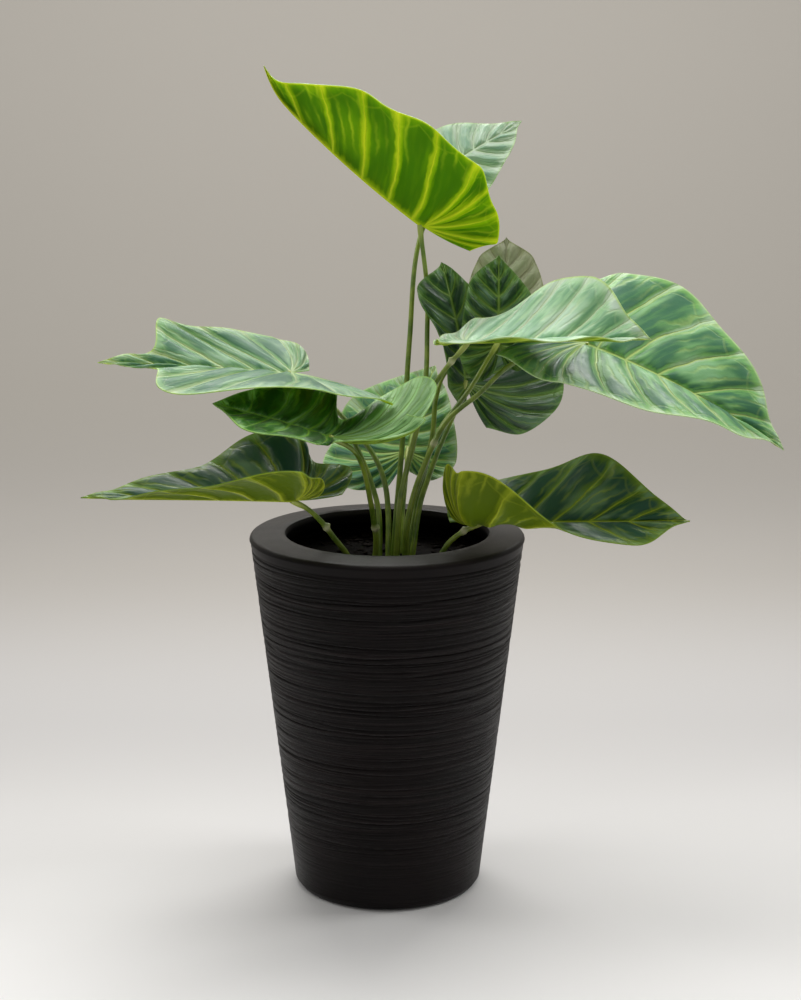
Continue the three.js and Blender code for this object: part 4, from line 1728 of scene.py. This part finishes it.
@dataclass
class Soil:
    """The potting mix: a lumpy bed with bark chips and crumbs strewn on it.

    Broad and narrow are the bed's waves along X and Y, in radians to a millimetre.
    """

    pot: Pot
    around: int = 128
    step: float = 1.8
    lump: float = 2.4
    crumble: float = 0.8
    kinds: int = 5
    chips: int = 420
    chip_share: float = 0.75
    small: Span = (1.0, 2.6)
    large: Span = (2.6, 4.2)
    lengths: Span = (0.9, 1.7)
    heights: Span = (0.4, 0.8)
    spin: float = 6.28
    tilt: float = 0.5
    above: float = 0.15
    wall_gap: float = 3
    dent: float = 0.2
    broad: Span = (0.11, 0.13)
    narrow: Span = (0.23, 0.19)
    seed: int = 21

    def radius(self) -> float:
        """Return the bed's outer radius at its surface."""
        return self.pot.cavity(SOIL_LEVEL) - SEAT_GAP

    def bed_height(self, x: Array, y: Array) -> Array:
        """Shape the bed's surface.

        Args:
            x: places along X.
            y: places along Y.

        Returns:
            The height at each place.
        """
        rough = Waviness(self.seed, 14, 60.0, 7.0)
        flat = np.stack([x, y, np.zeros_like(x)], axis=-1)
        fall = 1 - np.clip(np.hypot(x, y) / self.radius(), 0, 1)
        wave = np.sin(x * self.broad[0] + 1) * np.cos(y * self.broad[1])
        wave = wave + 0.5 * np.sin(x * self.narrow[0] - y * self.narrow[1])
        return SOIL_LEVEL + self.lump * fall * wave + self.crumble * rough.at(flat) * smooth(fall * 12)

    def bed(self) -> Piece:
        """Make the closed bed, from the bottom of the cavity to its lumpy surface.

        Returns:
            The bed.
        """
        low = self.pot.cavity(SOIL_BOTTOM) - SEAT_GAP
        side = np.array([(0.0, SOIL_BOTTOM), (low, SOIL_BOTTOM), (self.radius(), SOIL_LEVEL)])
        top = drawn_profile([(self.radius(), SOIL_LEVEL), (0.0, SOIL_LEVEL)], self.step)[1:]

        def raise_top(points: Array, _: Array) -> Array:
            """Lift the rows of the surface to the bed's height.

            Args:
                points: the table of the bed's points.

            Returns:
                The points with the surface lifted.
            """
            rows = points[len(side) :]
            rows[..., 2] = self.bed_height(rows[..., 0], rows[..., 1])
            rows[-1, :, 2] = rows[-1, 0, 2]
            return points

        return revolve("soil_bed", np.vstack([side, top]), self.around, raise_top)

    def crumbs(self) -> list[tuple[Piece, Array]]:
        """Make the few dented crumbs that the chips are copies of.

        Returns:
            Each crumb with the places of its points.
        """
        made = []
        for kind in range(self.kinds):
            bpy.ops.object.select_all(action="DESELECT")
            bpy.ops.mesh.primitive_ico_sphere_add(subdivisions=1, radius=1.0, location=(0, 0, 0))
            crumb = bpy.context.object
            form = points_of(crumb)
            dent = Waviness(self.seed + 10 + kind, 6, 3.2, 1.1)
            made.append((crumb, form * (1 + self.dent * dent.at(form))[:, None]))
        return made

    def strewn(self, draw: np.random.Generator, form: Array) -> Array:
        """Draw a chip's size, turn and place on the bed.

        Args:
            draw: the random draw.
            form: the points of its crumb.

        Returns:
            The chip's points, half sunk in the bed.
        """
        r = (self.radius() - self.wall_gap) * math.sqrt(draw.uniform(0, 1))
        a = draw.uniform(0, FULL_TURN)
        x, y = r * math.cos(a), r * math.sin(a)
        z = float(self.bed_height(np.array(x), np.array(y)))
        size = draw.uniform(*(self.small if draw.uniform() < self.chip_share else self.large))
        length, height = size * draw.uniform(*self.lengths), size * draw.uniform(*self.heights)
        spin = Matrix.Rotation(draw.uniform(0, self.spin), 3, "Z")
        turn = np.array(spin @ Matrix.Rotation(draw.uniform(-self.tilt, self.tilt), 3, "X"))
        return (form * np.array([length, size, height])) @ turn.T + np.array([x, y, z + self.above * size])

    def strew(self) -> Piece:
        """Strew the chips over the bed.

        Returns:
            All chips, joined into one piece.
        """
        draw = np.random.default_rng(self.seed + 1)
        crumbs = self.crumbs()
        pieces = []
        for number in range(self.chips):
            crumb, form = crumbs[number % len(crumbs)]
            chip = crumb.copy()
            chip.data = crumb.data.copy()
            bpy.context.scene.collection.objects.link(chip)
            place_points(chip, self.strewn(draw, form))
            pieces.append(chip)
        for crumb, _ in crumbs:
            bpy.data.objects.remove(crumb)
        bpy.ops.object.select_all(action="DESELECT")
        for chip in pieces:
            chip.select_set(True)
        bpy.context.view_layer.objects.active = pieces[0]
        bpy.ops.object.join()
        joined = bpy.context.object
        joined.name = "soil_chips"
        joined.data.name = "soil_chips"
        return joined

    def build(self) -> list[Piece]:
        """Make and dress the bed and what lies on it.

        Returns:
            The two finished pieces.
        """
        bed = self.bed()
        bed.data.materials.append(BED_FINISH.make())
        shade_round(bed, 50)
        settle(bed, ["soil"])
        chips = self.strew()
        chips.data.materials.append(CHIP_FINISH.make())
        shade_round(chips, 35)
        settle(chips, [])
        return [bed, chips]


@dataclass(frozen=True)
class Lamp:
    """A soft rectangular light: its place, the point it faces, its two sides, power and colour."""

    name: str
    at: Place
    towards: Place
    size: Span
    watts: float
    colour: Colour = (1.0, 1.0, 1.0)

    def hang(self) -> None:
        """Add the light to the scene, turned to the point that it faces."""
        data = bpy.data.lights.new(self.name, "AREA")
        data.shape = "RECTANGLE"
        data.size, data.size_y = self.size
        data.energy = self.watts
        data.color = self.colour
        thing = bpy.data.objects.new(self.name, data)
        bpy.context.scene.collection.objects.link(thing)
        thing.location = self.at
        heading = Vector(self.towards) - Vector(self.at)
        thing.rotation_euler = heading.to_track_quat("-Z", "Y").to_euler()


LAMPS = (
    Lamp("left_window", at=(-1.7, 0.15, 1.8), towards=(0, 0, 0.3), size=(0.8, 0.8), watts=9.0),
    Lamp("right_window", at=(1.8, 0.15, 1.8), towards=(0, 0, 0.3), size=(0.8, 0.8), watts=17.0),
    Lamp(
        "overhead", at=(-0.2, 0.25, 1.75), towards=(0, 0, 0.4), size=(0.9, 0.7), watts=12.0,
        colour=(1.0, 0.99, 0.97),
    ),
    Lamp(
        "wall_wash", at=(0.0, 2.3, 2.9), towards=(0, 4.2, 0.7), size=(4.0, 0.8), watts=58.0,
        colour=(1.0, 0.98, 0.95),
    ),
    Lamp(
        "behind", at=(0.1, 1.15, 1.45), towards=(0, 0, 0.5), size=(1.6, 0.45), watts=16.0,
        colour=(1.0, 1.0, 0.98),
    ),
)


@dataclass(frozen=True)
class PaperFinish:
    """The plain paper of the floor and wall, with a faint cloud.

    Painted light makes it pale in front and greyer behind, with a band of painted shade behind the pot.
    """

    front: Tint = (242, 241, 240)
    middle: Tint = (180, 178, 177)
    shade: Tint = (166, 162, 157)
    back: Tint = (180, 176, 169)
    wall: Tint = (186, 182, 175)
    cloud: Tint = (180, 176, 170)

    def make(self) -> bpy.types.Material:
        """Make the material.

        Returns:
            The material.
        """
        g = Graph("backdrop_paper")
        _, depth, z = g.parts(g.place())
        cloud = g.noise(1.6, 3.0, 0.5)
        colour = g.coats(
            # Painted light: pale in front and greyer behind, with a band of painted shade behind the pot.
            self.front,
            (g.ease(depth, -0.4, 0.5), self.middle),
            (g.ease(depth, 0.45, 1.2), self.shade),
            (g.ease(depth, 1.3, 2.6), self.back),
            (g.ease(z, 0.0, 0.8), self.wall),
            (g.ease(cloud, 0.4, 0.7, 0.0, 0.08), self.cloud),
        )
        return g.finish(g.surface(colour, 0.85, Specular_IOR_Level=0.2))


@dataclass
class Studio:
    """The floor that curves up into a backdrop, the soft lights and the camera, in metres."""

    focal_mm: float = 78.62
    sensor_mm: float = 36.0
    eye: Place = (0.0, -1.931, 0.792)
    yaw: float = 0.36
    pitch: float = 12.54
    front: float = -4.0
    curve_start: float = 2.7
    curve_radius: float = 1.7
    wall_height: float = 5.0
    half_width: float = 5.0
    columns: int = 24
    rows: int = 96
    glow: Colour = (1.0, 0.99, 0.975)
    glow_strength: float = 0.34

    def backdrop(self) -> Piece:
        """Make the floor and wall as one smooth sweep.

        Returns:
            The sweep.
        """
        piece = add_sheet("backdrop", self.columns, self.rows)
        x, y = cells_of(piece, self.columns, self.rows)
        arc = self.curve_radius * math.pi / 2
        floor = self.curve_start - self.front
        walked = (y + 1) / 2 * (floor + arc + self.wall_height)
        turn = np.clip((walked - floor) / self.curve_radius, 0, math.pi / 2)
        back = self.front + np.minimum(walked, floor) + self.curve_radius * np.sin(turn)
        up = self.curve_radius * (1 - np.cos(turn)) + np.maximum(0, walked - floor - arc)
        place_points(piece, np.stack([x * self.half_width, back, up], axis=-1) / MM)
        piece.data.materials.append(PaperFinish().make())
        shade_round(piece, 60)
        return piece

    def light(self) -> None:
        """Hang the lights and set the room's glow."""
        for lamp in LAMPS:
            lamp.hang()
        world = bpy.data.worlds.new("room")
        bpy.context.scene.world = world
        world.use_nodes = True
        room = world.node_tree.nodes["Background"]
        room.inputs["Color"].default_value = (*self.glow, 1.0)
        room.inputs["Strength"].default_value = self.glow_strength

    def camera(self) -> None:
        """Set the camera at the view of the photo."""
        data = bpy.data.cameras.new("view")
        data.lens = self.focal_mm
        data.sensor_width = self.sensor_mm
        data.clip_start, data.clip_end = 0.05, 60.0
        eye = bpy.data.objects.new("view", data)
        bpy.context.scene.collection.objects.link(eye)
        eye.location = self.eye
        eye.rotation_euler = (math.radians(90 - self.pitch), 0.0, math.radians(-self.yaw))
        bpy.context.scene.camera = eye

    def build(self) -> None:
        """Set the stage."""
        LOG.info("%s: floor and wall", self.backdrop().name)
        self.light()
        self.camera()
        bpy.context.scene.view_settings.view_transform = "Standard"


def main() -> None:
    """Build the stage, the pot, the soil and the leaves, and report each piece."""
    logging.basicConfig(level=logging.INFO, format="%(name)s: %(message)s")
    bpy.ops.object.select_all(action="DESELECT")
    Studio().build()
    pot = Pot()
    pot.build()
    Soil(pot).build()
    blade_paint, stalk_green = BladePaint(Veins()), StalkFinish().make()
    for leaf in LEAVES:
        Blade(leaf, blade_paint).build()
        Stalk(leaf, stalk_green).build()


if __name__ == "__main__":
    main()
